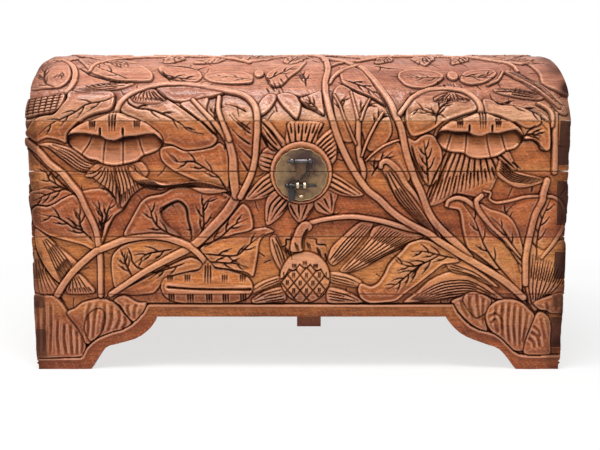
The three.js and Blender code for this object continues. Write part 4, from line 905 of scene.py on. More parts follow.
fruit_middle = seen((305, 278))[0]
fruit_across, fruit_up = 47.0, 49.0
turn = np.linspace(0, 2 * math.pi, 40, endpoint=False)
sheet.blade(np.stack([fruit_middle[0] + fruit_across * np.cos(turn),
                      fruit_middle[1] + fruit_up * np.sin(turn)], 1),
            -5.2, crown=5.0, crown_reach=40, trench=3.4)
corner = fruit_middle - [fruit_across, fruit_up], fruit_middle + [fruit_across, fruit_up]
window = sheet.window(np.array(corner), 0)
local_across = sheet.across[window[1]][None, :] - fruit_middle[0]
local_up = sheet.up[window[0]][:, None] - fruit_middle[1]
inside = np.hypot(local_across / fruit_across, local_up / fruit_up) < 0.97
lobe_width, lobe_drop = 20.0, 8.0
cap_low = 28.0 - 0.012 * local_across**2 - lobe_drop * np.abs(np.cos(math.pi * local_across / lobe_width))
over_cap = local_up - cap_low
diamond_wide, diamond_tall = 24.0, 30.0
falling = (local_across - 3) / diamond_wide + (local_up - 5) / diamond_tall
rising = (local_across - 3) / diamond_wide - (local_up - 5) / diamond_tall
off_line = np.minimum(np.abs(falling % 1 - 0.5), np.abs(rising % 1 - 0.5)) * 18.7
skin = inside & (over_cap < -1)
sheet.high[window] += skin * (1.0 * eased(off_line / 7) - 1.0 - 2.0 * fading(off_line, 1.5))
sheet.high[window] += inside * (1.3 * (over_cap > 0) - 2.8 * fading(over_cap + 1.2, 1.5))
cap_edge = fading(over_cap + 1.2, 1.5)
sheet.dark[window] = np.maximum(sheet.dark[window],
                                inside * 0.95 * np.maximum(cap_edge, skin * fading(off_line, 1.4)))
sheet.pale_and_highlight[window] = np.maximum(sheet.pale_and_highlight[window], inside * (over_cap > 0) * 1.4)
for a in range(-3, 4):
    for b in range(-3, 4):
        centre = np.array([3 + diamond_wide * (a + b) / 2, 5 + diamond_tall * (a - b) / 2])
        if math.hypot(*(centre / [fruit_across, fruit_up])) < 0.8 and centre[1] < 14 - 0.012 * centre[0] ** 2:
            for k in (-1, 1):
                tick = fruit_middle + centre + [k * 1.7, 0]
                sheet.cut(np.array([tick + [0, 4], tick, tick + [-0.5, -5]]), width=1.6, depth=1.1, lift=0.0)
for k in (-2, -1, 0, 1, 2):
    for n in (-1, 0, 1):
        tick = fruit_middle + [k * lobe_width + n * 3.0, 27 - 0.012 * (k * lobe_width) ** 2 - abs(k)]
        if abs(k) < 2 or n == 0:
            sheet.cut(np.array([tick + [0, 4], tick + [0, -3]]), width=2.2, depth=1.6, lift=0.0)
sheet.blade(seen((291, 252), (291, 243), (294, 235), (297, 228), (302, 222.5), (308, 222), (312.5, 226),
                 (311, 230), (307, 233), (304, 240), (303, 251)), -1.6, crown=1.2, crown_reach=10, trench=2.0)
sheet.cut(seen((308, 229), (304, 236), (302.5, 243), (303, 251)), width=4.6, depth=3.4, lift=1.2, run_out=0.1)
steps_left = [(283, 247), (286, 245.5), (286, 240), (290.5, 240), (291.4, 234)]
steps_right = [(326, 247), (325, 245.5), (317, 245), (316, 240), (309, 239)]
for steps in (steps_left, steps_right):
    sheet.cut(seen(*steps), width=2.6, depth=1.8, lift=0.8)
for x, y in ((286, 252), (288.5, 254), (291, 256), (296, 247), (298, 249), (308, 247), (310, 248),
             (318, 252), (320, 254), (284, 259), (326, 258)):
    sheet.cut(seen((x - 0.8, y - 4), (x + 1, y + 4)), width=3.0, depth=2.0, lift=0.2)

# The carving, small flowers and lattice on the lid
# Two round knobs with petals to either side, a patch of crossed cuts near the left end, and the
# wheat ears by the right end.
for middle, size in (((259, 72), 9.5), ((452.7, 74.5), 10.5)):
    knob = seen(middle)[0]
    sheet.blade(np.stack([knob[0] + size * np.cos(turn), knob[1] + size * 1.5 * np.sin(turn)], 1)[::2],
                -1.8, crown=1.8, crown_reach=size, trench=3.0)
for x, y in ((269, 79), (275, 84), (282, 80), (287, 76), (268, 88), (273, 86), (280, 84), (439, 83),
             (444, 84), (449, 83), (452, 83.5), (455, 84), (462, 84)):
    sheet.cut(seen((x - 1.5, y - 2), (x + 1.5, y + 3)), width=2.8, depth=1.8, lift=0.1)
patch = [(26, 98), (45, 95), (64, 92), (61, 103), (54, 110), (40, 113), (23.4, 116)]
sheet.blade(seen(*patch), -2.0, crown=0.3, trench=1.8)
for k in range(6):
    share = (k + 0.4) / 6
    sheet.cut(between(seen((26, 98), (64, 92)), seen((23, 116), (56, 110)), share), width=2.1, depth=1.8,
              lift=0.0, run_out=0.1)
    sheet.cut(between(seen((27, 97), (24, 116)), seen((64, 92), (58, 109)), share), width=2.1, depth=1.8,
              lift=0.0, run_out=0.1)
wheat_ears = [((516, 69), (562, 104), 11), ((500, 87), (540, 92), 9), ((82, 84), (126, 80), 8)]
for first, last, count in wheat_ears:
    for k in range(count):
        share = (k + 0.5) / count
        x = first[0] + (last[0] - first[0]) * share
        y = first[1] + (last[1] - first[1]) * share
        sheet.cut(seen((x, y), (x + 5, y + 2.5)), width=2.6, depth=1.8, lift=0.1)

# The carving, feet and apron band
# A raised moulding follows the cut-out edge of the feet and runs along the apron. Above it the
# feet are carved as rocks, in rounded lumps with rippled flutes.
band_line = seen((34, 359), (60, 358.8), (80.3, 358.2), (83.4, 354.6), (86.4, 348.5), (91.5, 343.4),
                 (96.6, 339.8), (101.7, 337.2), (111.9, 333.2), (122.1, 330.6), (130.3, 326),
                 (137.4, 319.9), (143.6, 312.8), (147.2, 306), (150, 305), (200, 305), (300, 305.2),
                 (400, 305.2), (450, 305), (454, 305.5), (457.6, 312.8), (463.7, 319.9), (470.8, 326.5),
                 (479, 330.6), (489.2, 333.2), (495.3, 335.2), (501.4, 339.3), (507.6, 345.4),
                 (513.7, 351.5), (519.8, 355.1), (528, 356.3), (564, 356.1))

rocks = [
    (-2.2, [(30, 299), (44, 296), (54.5, 297), (61.5, 304), (69.2, 316), (79.4, 330), (84.5, 340), (85, 350),
            (82, 357), (34, 358.5)]),
    (-3.2, [(66, 314), (74, 309), (82, 303), (94, 300), (102, 299.5), (113, 303), (122, 313), (131, 324),
            (122, 331), (110, 334), (100, 338), (90, 344), (85, 344), (78, 330)]),
    (-2.6, [(84, 330), (86, 318), (92, 311), (100, 309), (104, 314), (104, 324), (99, 335), (90, 342)]),
    (-3.4, [(113, 301), (123, 296), (137, 303), (146, 304), (142, 315), (134, 323), (126, 316), (120, 307)]),
    (-3.4, [(452, 302), (462, 297), (470, 293), (484, 295), (496, 302), (488, 308), (486, 320), (488, 332),
            (476, 328), (464, 318), (457, 310)]),
    (-3.0, [(464, 303), (466, 295), (474, 292), (484, 295), (492, 301), (488, 312), (476, 318)]),
    (-2.6, [(486, 316), (490, 307), (497, 302), (505, 300), (516, 300.5), (524, 304), (530, 310),
            (535.5, 317), (529, 333), (526, 344), (525, 351), (514, 351), (504, 341), (494, 334),
            (488, 326)]),
    (-3.0, [(529, 334), (536, 317), (540, 312.5), (544, 313), (549.5, 318), (552, 328), (551, 342),
            (550, 356), (526, 355), (525, 346)]),
    (-2.4, [(534, 303), (548, 297), (566, 293), (567, 312), (553, 314), (546, 311), (540, 310)]),
]
for level, outline in rocks:
    sheet.blade(seen(*outline), level, crown=2.0, crown_reach=16, trench=2.4)
ripples = [
    [(58, 318), (57, 336), (59, 356)], [(64, 322), (64, 340), (66, 356)], [(70, 324), (71, 340), (72, 356)],
    [(76, 330), (77, 344), (77, 356)], [(81, 336), (82, 346), (81, 355)], [(50, 302), (51, 326), (50, 356)],
    [(44, 300), (44, 328), (44, 356)], [(38, 300), (38, 328), (39, 356)],
    [(90, 303), (87, 314), (88, 328), (86, 340)], [(97, 302), (95, 312), (93, 330), (92, 340)],
    [(104, 302), (104, 318), (101, 334)], [(111, 305), (111, 320), (107, 333)],
    [(118, 310), (119, 320), (115, 330)], [(124, 316), (125, 324), (121, 330)],
    [(128, 304), (127, 310), (129, 318)], [(136, 304), (134, 312), (134, 320)],
    [(461, 300), (463, 308), (469, 318)], [(470, 296), (470, 306), (474, 320)],
    [(477, 294), (478, 306), (481, 322)], [(484, 298), (483, 310), (484, 324)],
    [(497, 305), (495, 320), (498, 334)], [(503.4, 302), (502, 322), (503, 338)],
    [(509.8, 302), (508, 324), (510, 344)], [(515.5, 303), (514, 326), (516, 348)],
    [(521, 306), (520, 326), (520, 349)], [(528, 312), (526, 326), (523, 344)],
    [(488, 318), (496, 314), (502, 320), (503, 332)], [(490, 324), (496, 320), (499, 326), (499, 334)],
    [(541, 317), (543, 328), (545.5, 341)], [(533, 326), (539, 331), (541, 338)],
    [(529, 338), (534, 343), (535, 349)], [(531, 332), (538, 337), (540, 348)],
    [(546, 302), (548, 308), (548, 314)], [(556, 298), (557, 306), (556, 312)],
]


def flute(board, line, lip, hollow, stain_shade_amount):
    """A broad round cut: lip is its height, place and width, hollow a depth and a reach, and stain a strength
    and a reach for its stain and painted shade.
    """
    window, far, share, _ = board.measure(curve(line), 9)
    fade = np.clip(np.minimum(share, 1 - share) / 0.12, 0, 1)
    board.high[window] += fade * (lip[0] * fading(far - lip[1], lip[2]) - hollow[0] * fading(far, hollow[1]))
    board.dark[window] = np.maximum(board.dark[window], fade * stain_shade_amount[0] * fading(far, stain_shade_amount[1]))


for ripple in ripples:
    flute(sheet, seen(*ripple), (0.5, 5.4, 2.8), (1.9, 3.2), (0.3, 2.6))

band_up = np.interp(sheet.across, band_line[:, 0], band_line[:, 1])[None, :]
window, far, _, _ = sheet.measure(curve(band_line, gap=4), 30)
below = (sheet.up[window[0]][:, None] < band_up[:, window[1]])
bead = 2.4 * fading(far - 2.0, 2.0)
slope = -3.4 - 0.02 * far
high, dark = sheet.high[window], sheet.dark[window]
high[:] = np.where(below, slope + bead, high)
high[:] = np.where(~below, high - 3.0 * fading(far, 2.0) * (far < 9), high)
dark[:] = np.where(below, 0.05 * fading(far, 3), np.maximum(dark, 0.95 * fading(far, 1.9)))
sheet.high[: window[0].start + 1] = np.minimum(sheet.high[: window[0].start + 1], -3.6)
lowest = sheet.up < band_up.min() - 28
sheet.high[lowest] = -3.6

# The carving, the lock's seat
# The carver left a flat round seat for the lock plate in the middle of the front, and a raised
# ring of wood round it, broad above and thin below.
seat_middle = np.array([5.0, 372.0])
seat_radius = 50.0
window = sheet.window(np.array([seat_middle]), 80)
local_across = sheet.across[window[1]][None, :] - seat_middle[0]
local_up = sheet.up[window[0]][:, None] - seat_middle[1]
from_middle = np.hypot(local_across, local_up)
toward_top = (local_up / np.maximum(from_middle, 1) + 1) / 2
ring_width = 2.6 + 7.0 * toward_top
ring_place = np.clip((from_middle - seat_radius - 0.4) / ring_width, 0, 1)
ring = (from_middle > seat_radius + 0.2) & (from_middle < seat_radius + 0.6 + ring_width)
high, dark = sheet.high[window], sheet.dark[window]
around = fading(from_middle - seat_radius - ring_width - 0.6, 2.0)
high[:] = np.where(ring, -0.3 - 1.6 * (2 * ring_place - 1) ** 2, high - 1.6 * around)
dark[:] = np.where(ring, 0.25 * np.abs(2 * ring_place - 1) ** 3, np.maximum(dark, 0.9 * around))
high[:] = np.where(from_middle <= seat_radius + 0.2, 0.0, high)
dark[:] = np.where(from_middle <= seat_radius + 0.2, 0.6, dark)

# The carving on the ends
# The ends can't be seen in the photograph. They carry the same plants, drawn for their own shape:
# one open flower in the middle, a rosette in the gable, leaves and stems that climb from the feet.
end_middle = half_depth
end_sheet = Sheet(-6, chest_depth + 6, -6, lid_crown + 6, 1.6, -5.6)
end_leaves = [
    ((196, 250), (34, 344), 74, 18), ((186, 238), (14, 262), 62, -16), ((200, 226), (40, 166), 66, 14),
    ((236, 224), (140, 156), 50, -12), ((150, 372), (10, 404), 60, 14), ((128, 388), (40, 486), 66, -14),
    ((190, 396), (112, 530), 62, 12), ((240, 400), (214, 586), 58, 16), ((66, 356), (16, 376), 30, 6),
    ((110, 262), (20, 300), 46, -8), ((214, 262), (120, 372), 58, -12),
]
end_stems = [
    ([16, 15, 14, 13, 12, 10], [(44, 120), (70, 190), (118, 236), (146, 290), (132, 350), (96, 400),
                                (92, 450), (124, 500), (180, 548), (236, 582)]),
    ([14, 13, 11], [(150, 128), (178, 180), (206, 214), (240, 262)]),
    ([10, 10, 9], [(132, 346), (160, 372), (200, 392), (236, 420)]),
    ([9, 9, 8], [(70, 190), (42, 226), (20, 280), (8, 330)]),
]
end_reeds = [
    ([(4, 150), (50, 150), (64, 178), (40, 196), (4, 206)], [(48, 152), (26, 170), (6, 200)],
     [(54, 156), (52, 176), (36, 194)]),
    ([(120, 150), (168, 150), (182, 176), (160, 196), (132, 186)], [(160, 152), (140, 166), (134, 184)],
     [(166, 152), (170, 172), (160, 192)]),
    ([(4, 300), (30, 308), (44, 334), (20, 356), (4, 350)], [(28, 310), (16, 326), (6, 346)],
     [(32, 314), (34, 332), (20, 352)]),
]


def turned_over(points, hand):
    """Points of one half of an end, or with hand -1 the same points on the other half."""
    points = np.array(points, float)
    return np.stack([end_middle - hand * (end_middle - points[:, 0]), points[:, 1]], 1)


for hand in (1, -1):
    for outline, first, last in end_reeds:
        end_sheet.blade(turned_over(outline, hand), -3.4, crown=1.6, crown_reach=11)
        end_sheet.fringe(curve(turned_over(first, hand)), curve(turned_over(last, hand)), 6.0)
    for foot, tip, width, bend in end_leaves:
        foot, tip = turned_over([foot, tip], hand)
        end_sheet.leaf(foot, tip, width, bend * hand)
hatch(end_sheet, 500, 6)
for hand in (1, -1):
    for widths, line in end_stems:
        end_sheet.stem(turned_over(line, hand), widths)

beard = [(176, 262), (204, 250), (300, 250), (328, 262), (318, 214), (284, 176), (252, 158), (220, 176),
         (186, 214)]
end_sheet.blade(np.array(beard, float), -3.4, crown=1.4, crown_reach=12)
beard_left = curve([(200, 258), (196, 230), (196, 204)])
beard_right = curve([(304, 258), (308, 230), (308, 204)])
end_sheet.fringe(beard_left, beard_right, 6.0)
outline, lip, petals, marks = left_flower
flower_middle = np.array([end_middle, 308.0])
grown = 1.2
shift = flower_middle - outline.mean(0) * grown
open_flower(end_sheet, outline * grown + shift, lip * grown + shift,
            [line * grown + shift for line in petals],
            [(m * grown + shift[0], top * grown + shift[1], low * grown + shift[1], gap * grown)
             for m, top, low, gap in marks])
rosette(end_sheet, (end_middle, 470.0), 66.0)

# The carving, feet of the ends
# The side feet repeat the front's: rounded rocks with rippled flutes, and a raised moulding along
# the cut-out edge.
arch_height = 103.0
half_band = [(-6, 15), (58, 15), (76, 22), (90, 44), (110, 60), (140, 72), (160, 84), (174, 100),
             (182, arch_height + 15)]
end_band = curve(half_band + [(chest_depth - a, b) for a, b in half_band[::-1]], gap=4)
end_rocks = [[(-4, 20), (28, 18), (48, 26), (52, 70), (40, 112), (20, 140), (-4, 146)],
             [(50, 24), (70, 28), (84, 52), (82, 92), (62, 126), (44, 138), (50, 100)],
             [(84, 58), (106, 68), (124, 78), (118, 116), (96, 140), (66, 142), (82, 100)],
             [(122, 82), (146, 88), (160, 108), (150, 134), (126, 144), (100, 142), (120, 112)]]
for hand in (1, -1):
    for outline in end_rocks:
        rock = turned_over(outline, hand)
        end_sheet.blade(rock, -2.6, crown=2.2, crown_reach=16, trench=2.6)
        middle = rock.mean(0)
        for k in (-1, 0, 1):
            heart = middle + [k * 10 * hand, 0]
            line = np.array([heart + [k * 2, 26], heart, heart + [-k * 2, -30]])
            flute(end_sheet, line, (0.6, 4.2, 2.4), (1.8, 2.0), (0.5, 1.6))
window, far, _, _ = end_sheet.measure(end_band, 36)
band_here = np.interp(end_sheet.across, end_band[:, 0], end_band[:, 1])[None, window[1]]
below = end_sheet.up[window[0]][:, None] < band_here
high, dark = end_sheet.high[window], end_sheet.dark[window]
high[:] = np.where(below, -3.4 + 2.4 * fading(far - 2.0, 2.0), high - 3.0 * fading(far, 2.0))
dark[:] = np.where(below, 0.05, np.maximum(dark, 0.95 * fading(far, 1.9)))

# The carving, wear, tool marks and painted light
# Every surface keeps slight facets from the gouge, and its arrises are rubbed. Stain, old varnish
# and painted shade lie dark in the cuts and hollows, while the proud edges are rubbed paler and carry a
# painted highlight.
def waves(board, length, seed):
    """A slow unevenness over the board, from a few crossed ripples."""
    draw = np.random.default_rng(seed)
    across, up = np.meshgrid(board.across, board.up)
    total = np.zeros_like(across)
    for _ in range(9):
        way = draw.uniform(0, math.pi)
        size = length * draw.uniform(0.6, 1.6)
        along = across * math.cos(way) + up * math.sin(way)
        total += np.sin(along * 2 * math.pi / size + draw.uniform(0, 6.3))
    return total / 9


relief_grown = 1.2
deepest_cut, planed_face = -13.0, -0.05


def finish_carving(board, seams, seed):
    """Adds facets and eased seams, then works out where stain and painted shade lie and which edges are
    rubbed paler with a painted highlight.
    """
    gouged = waves(board, 60, seed + 3) * 1.2 + waves(board, 24, seed) * 0.7 + waves(board, 9, seed + 1) * 0.4
    board.high = board.high * relief_grown + gouged
    edge = np.minimum(board.across - board.across[0], board.across[-1] - board.across)[None, :]
    run_off = fading(edge, 5.5)
    board.high = board.high * (1 - run_off) + blurred(board.high, 6) * run_off
    for seam in seams:
        board.high -= 0.9 * fading(board.up[:, None] - seam, 1.3)
        board.dark = np.maximum(board.dark, 0.8 * fading(board.up[:, None] - seam, 1.2))
    board.high = np.clip(board.high, deepest_cut, planed_face)
    near, wide = blurred(board.high, 2), blurred(board.high, 8)
    # hollow is painted shade: darker where the surface lies below its near and wider surroundings
    hollow = np.clip((near - board.high) / 1.1, 0, 1) * 0.55 + np.clip((wide - board.high) / 4.0, 0, 1) * 0.7
    spread = np.clip(1.35 * blurred(board.dark, 1) - 0.12, 0, 1)
    patchy = 0.95 + 0.4 * waves(board, 70, seed + 2)
    # the old varnish near the ends is darker on the right half, partly painted shade on that side
    right_half = board.across > 0.5 * (board.across[0] + board.across[-1])
    grime_and_shade = np.where(right_half, 0.8, 0.62)[None, :]
    old_varnish_and_shade = grime_and_shade * fading(edge, 27) * (1 + 0.8 * waves(board, 40, seed + 4))
    board.dark = np.maximum(np.maximum(board.dark, spread), hollow) * patchy
    board.dark = np.clip(np.maximum(board.dark, old_varnish_and_shade), 0, 1)
    # proud edges are paler, partly from wear and partly a painted highlight
    rubbed_and_highlit = np.clip((board.high - near) / 0.42, 0, 1) * 0.8 + np.clip((board.high - wide) / 3.0, 0, 1) * 0.2
    board.worn = np.clip(np.maximum(rubbed_and_highlit, board.pale_and_highlight * 0.6), 0, 1) * (1 - 0.6 * board.dark)


shallow_from = seen((300, 99))[0][1]
sheet.high *= 1 - 0.38 * eased((sheet.up[:, None] - shallow_from) / 30)
plinth_top = 147.0
lower_seam = 256.0
lid_seam = 378.0
finish_carving(sheet, [plinth_top, lower_seam, lid_seam, rail_top], 11)
finish_carving(end_sheet, [plinth_top, lower_seam, lid_seam], 31)

# the ends' border stays nearly full, so the corners and the lid's outline keep their line
end_border = np.vstack([[(0.0, 0.0), (0.0, rail_top)], section,
                        [(chest_depth, rail_top), (chest_depth, 0.0)]])
window, far, _, _ = end_sheet.measure(end_border, 20)
kept_full = np.exp(-((far / 9.0) ** 4)) * (end_sheet.up[window[0]][:, None] > plinth_top)
end_sheet.high[window] = end_sheet.high[window] * (1 - kept_full) - 0.3 * kept_full

# The back half of the lid can't be seen in the photograph. It repeats the front half's drawing,
# turned about the middle of the crown.
crown_row = int(round((crown_up - sheet.up[0]) / sheet.pitch))
back_rows = len(sheet.up) - crown_row - 1
for field in (sheet.high, sheet.dark, sheet.worn):
    front_half = field[crown_row - back_rows:crown_row]
    field[crown_row + 1:] = front_half[::-1, ::-1]

# The finish of the wood
# A red-brown tropical hardwood with paler golden sapwood bands, fine dark pores along the grain,
# dark stain and painted shade in the cuts, paler rubbed edges with a painted highlight, and an old satin
# varnish.


def add(tree, kind, settings=None, **sockets):
    """A shader node with its settings, and its sockets linked or set; spaces in names are written _."""
    node = tree.nodes.new("ShaderNode" + kind)
    for name, value in (settings or {}).items():
        setattr(node, name, value)
    for name, value in sockets.items():
        key = int(name[1:]) if name[0] == "n" and name[1:].isdigit() else name.replace("_", " ")
        if isinstance(value, bpy.types.NodeSocket):
            tree.links.new(value, node.inputs[key])
        else:
            node.inputs[key].default_value = value
    return node


def new_group(name, inputs, outputs):
    """An empty shader group with named sockets; gives its tree, its input node and its output node."""
    tree = bpy.data.node_groups.new(name, "ShaderNodeTree")
    for label, kind, value in inputs:
        socket = tree.interface.new_socket(label, in_out="INPUT", socket_type="NodeSocket" + kind)
        if value is not None:
            socket.default_value = value
    for label, kind in outputs:
        tree.interface.new_socket(label, in_out="OUTPUT", socket_type="NodeSocket" + kind)
    return tree, tree.nodes.new("NodeGroupInput"), tree.nodes.new("NodeGroupOutput")


def ramp(tree, factor, stops):
    """A colour ramp from a list of places and colours or greys."""
    node = add(tree, "ValToRGB", Fac=factor)
    points = node.color_ramp.elements
    while len(points) < len(stops):
        points.new(1.0)
    for point, (place, colour) in zip(points, stops):
        point.position = place
        point.color = (*colour, 1) if isinstance(colour, tuple) else (colour, colour, colour, 1)
    return node.outputs["Color"]


def mixed(tree, factor, first, second, blend="MIX"):
    """Two colours mixed."""
    node = add(tree, "Mix", {"data_type": "RGBA", "blend_type": blend})
    for socket, value in ((node.inputs[0], factor), (node.inputs[6], first), (node.inputs[7], second)):
        if isinstance(value, bpy.types.NodeSocket):
            tree.links.new(value, socket)
        elif isinstance(value, tuple):
            socket.default_value = (*value, 1)
        else:
            socket.default_value = value
    return node.outputs[2]


def maths(tree, operation, first, second=0.0, third=0.0, clamp=False):
    """One sum on numbers."""
    node = add(tree, "Math", {"operation": operation, "use_clamp": clamp}, n0=first, n1=second, n2=third)
    return node.outputs[0]


grain_tree, given, put_out = new_group(
    "hardwood_grain",
    [("Place", "Vector", None), ("Seed", "Float", 0.0)],
    [("Figure", "Float"), ("Lines", "Float"), ("Pores", "Float"), ("Fibre", "Float")],
)
shifted = add(grain_tree, "VectorMath", {"operation": "ADD"}, n0=given.outputs["Place"],
              n1=given.outputs["Seed"])
figure = add(grain_tree, "TexNoise", Vector=shifted.outputs[0], Scale=1.7, Detail=5.0, Roughness=0.55,
             Distortion=0.9)
streaks = add(grain_tree, "TexNoise", Vector=shifted.outputs[0], Scale=9.0, Detail=4.0, Roughness=0.6,
              Distortion=0.3)
figure_sum = maths(grain_tree, "MULTIPLY_ADD", streaks.outputs[0], 0.35,
                   maths(grain_tree, "MULTIPLY", figure.outputs[0], 0.65))
pore_place = add(grain_tree, "VectorMath", {"operation": "MULTIPLY"}, n0=shifted.outputs[0],
                 n1=(2.2, 1.0, 1.0))
pores = add(grain_tree, "TexNoise", Vector=pore_place.outputs[0], Scale=46.0, Detail=2.0, Roughness=0.5)
pore_mask = ramp(grain_tree, pores.outputs[0], [(0.57, 0.0), (0.66, 1.0)])
line_place = add(grain_tree, "VectorMath", {"operation": "MULTIPLY"}, n0=shifted.outputs[0],
                 n1=(1.0, 1.0, 1.4))
lines = add(grain_tree, "TexNoise", Vector=line_place.outputs[0], Scale=27.0, Detail=4.0, Roughness=0.62)
fibre = add(grain_tree, "TexNoise", Vector=shifted.outputs[0], Scale=70.0, Detail=3.0, Roughness=0.6)
grain_tree.links.new(figure_sum, put_out.inputs["Figure"])
grain_tree.links.new(lines.outputs[0], put_out.inputs["Lines"])
grain_tree.links.new(pore_mask, put_out.inputs["Pores"])
grain_tree.links.new(fibre.outputs[0], put_out.inputs["Fibre"])


heartwood = [(0.32, (0.200, 0.043, 0.014)), (0.46, (0.390, 0.090, 0.028)), (0.58, (0.530, 0.145, 0.045)),
             (0.72, (0.640, 0.210, 0.070))]
sapwood = [(0.32, (0.310, 0.085, 0.020)), (0.45, (0.560, 0.190, 0.045)), (0.58, (0.740, 0.310, 0.085)),
           (0.72, (0.850, 0.430, 0.140))]
sapwood_levels = [(0.00, 0.15), (0.14, 0.20), (0.17, 0.75), (0.20, 0.70), (0.23, 0.25), (0.27, 0.80),
                  (0.39, 0.85), (0.42, 0.20), (0.53, 0.22), (0.575, 0.80), (0.61, 0.70), (0.64, 0.35),
                  (0.70, 0.30), (0.74, 0.75), (0.78, 0.55), (0.83, 0.15), (1.00, 0.10)]
darkened_lines = [(0.34, 0.55), (0.46, 0.88), (0.55, 1.0), (0.66, 1.18)]
filled_pore = (0.085, 0.026, 0.014)
rubbed_pale_and_highlight = (0.88, 0.46, 0.29)
stain_and_shade_colour = (0.026, 0.0045, 0.0028)
stained_end = (0.040, 0.012, 0.007)
raw_wood = (0.55, 0.33, 0.17)
chest_height = 0.62


def new_finish(name):
    """An empty material: its nodes, its shader and the place on the object."""
    material = bpy.data.materials.new(name)
    material.use_nodes = True
    tree = material.node_tree
    return material, tree, tree.nodes["Principled BSDF"], add(tree, "TexCoord").outputs["Object"]


def hardwood(name, grain, tint, seed, gloss=0.38, end_dark=0.5):
    """A varnished board: grain is how tightly the figure runs along x, y and z, and tint its colour, which on
    the vault holds a painted sheen and on the right end partly painted shade.
    """
    material, tree, shader, where = new_finish(name)
    stretched = add(tree, "VectorMath", {"operation": "MULTIPLY"}, n0=where, n1=grain).outputs[0]
    wood = tree.nodes.new("ShaderNodeGroup")
    wood.node_tree = grain_tree
    tree.links.new(stretched, wood.inputs["Place"])
    wood.inputs["Seed"].default_value = seed
    dark, worn, end_grain, bare = (add(tree, "Attribute", {"attribute_name": name}).outputs["Fac"]
                                   for name in ("dark", "worn", "end_grain", "bare"))
    gold = ramp(tree, wood.outputs["Figure"], sapwood)
    broad = add(tree, "TexNoise", Vector=stretched, Scale=0.9, Detail=2.0)
    level = add(tree, "SeparateXYZ", Vector=where).outputs["Z"]
    wobbled = maths(tree, "MULTIPLY_ADD", broad.outputs[0], 0.07, maths(tree, "SUBTRACT", level, 0.035))
    golden = ramp(tree, maths(tree, "DIVIDE", wobbled, chest_height), sapwood_levels)
    colour = mixed(tree, golden, ramp(tree, wood.outputs["Figure"], heartwood), gold)
    colour = mixed(tree, 1.0, colour, tint, "MULTIPLY")
    colour = mixed(tree, 1.0, colour, ramp(tree, wood.outputs["Lines"], darkened_lines), "MULTIPLY")
    colour = mixed(tree, maths(tree, "MULTIPLY", wood.outputs["Pores"], 0.45), colour, filled_pore)
    # proud edges rubbed paler: wear and a painted highlight
    colour = mixed(tree, maths(tree, "MULTIPLY", worn, 0.55), colour, rubbed_pale_and_highlight)
    # stain and painted shade, broken up unevenly, darken the colour
    blotch = add(tree, "TexNoise", Vector=where, Scale=28.0, Detail=4.0, Roughness=0.6)
    uneven = maths(tree, "MULTIPLY_ADD", blotch.outputs[0], 0.7, 0.62)
    stain_shade_amount = maths(tree, "MULTIPLY", dark, uneven, clamp=True)
    colour = mixed(tree, stain_shade_amount, colour, stain_and_shade_colour)
    colour = mixed(tree, maths(tree, "MULTIPLY", end_grain, end_dark), colour, stained_end)
    raw = mixed(tree, 0.5, gold, raw_wood)
    colour = mixed(tree, maths(tree, "MULTIPLY", bare, 0.75), colour, raw)
    tree.links.new(colour, shader.inputs["Base Color"])
    rough = maths(tree, "MULTIPLY_ADD", wood.outputs["Fibre"], 0.22, gloss - 0.11)
    rough = maths(tree, "MULTIPLY_ADD", stain_shade_amount, 0.30, rough)
    rough = maths(tree, "MULTIPLY_ADD", bare, 0.22, rough)
    rough = maths(tree, "MULTIPLY_ADD", end_grain, 0.15, rough, clamp=True)
    tree.links.new(rough, shader.inputs["Roughness"])
    height = maths(tree, "MULTIPLY_ADD", wood.outputs["Pores"], -0.5, wood.outputs["Fibre"])
    bump = add(tree, "Bump", Strength=0.5, Distance=0.0006, Height=height)
    tree.links.new(bump.outputs[0], shader.inputs["Normal"])
    tree.links.new(maths(tree, "MULTIPLY_ADD", stain_shade_amount, -0.26, 0.26, clamp=True), shader.inputs["Coat Weight"])
    shader.inputs["Coat Roughness"].default_value = 0.2
    shader.inputs["Specular IOR Level"].default_value = 0.12
    return material


# The boards of the plinth
# Solid tropical hardwood. The plinth is four boards finger-jointed at the corners, its front
# carved with the rest; the carving goes no deeper than half the board.
carving_depth = 45.0
half_width = 500.0
speck = 16e-6
chest_middle = (0.0, 0.005, 0.30)
sharp_from = math.radians(40)


def on_front(across, up, high):
    """A point of the sheet in the chest's own frame, in metres."""
    back, level, out_back, out_up = over_face(up)
    return np.stack([across, front_face / mm + back + out_back * high, level + out_up * high], -1) * mm


def on_end(hand):
    """The same for the sheet of the ends, on the left end for -1 and the right end for 1."""
    def place(across, up, high):
        return np.stack([hand * (half_width + high), front_face / mm + across, up], -1) * mm

    return place


def on_flat_front(across, up, high):
    """A flat face in the front's plane, which carries on straight above the lid's rail."""
    return np.stack([across, front_face / mm - high, up], -1) * mm


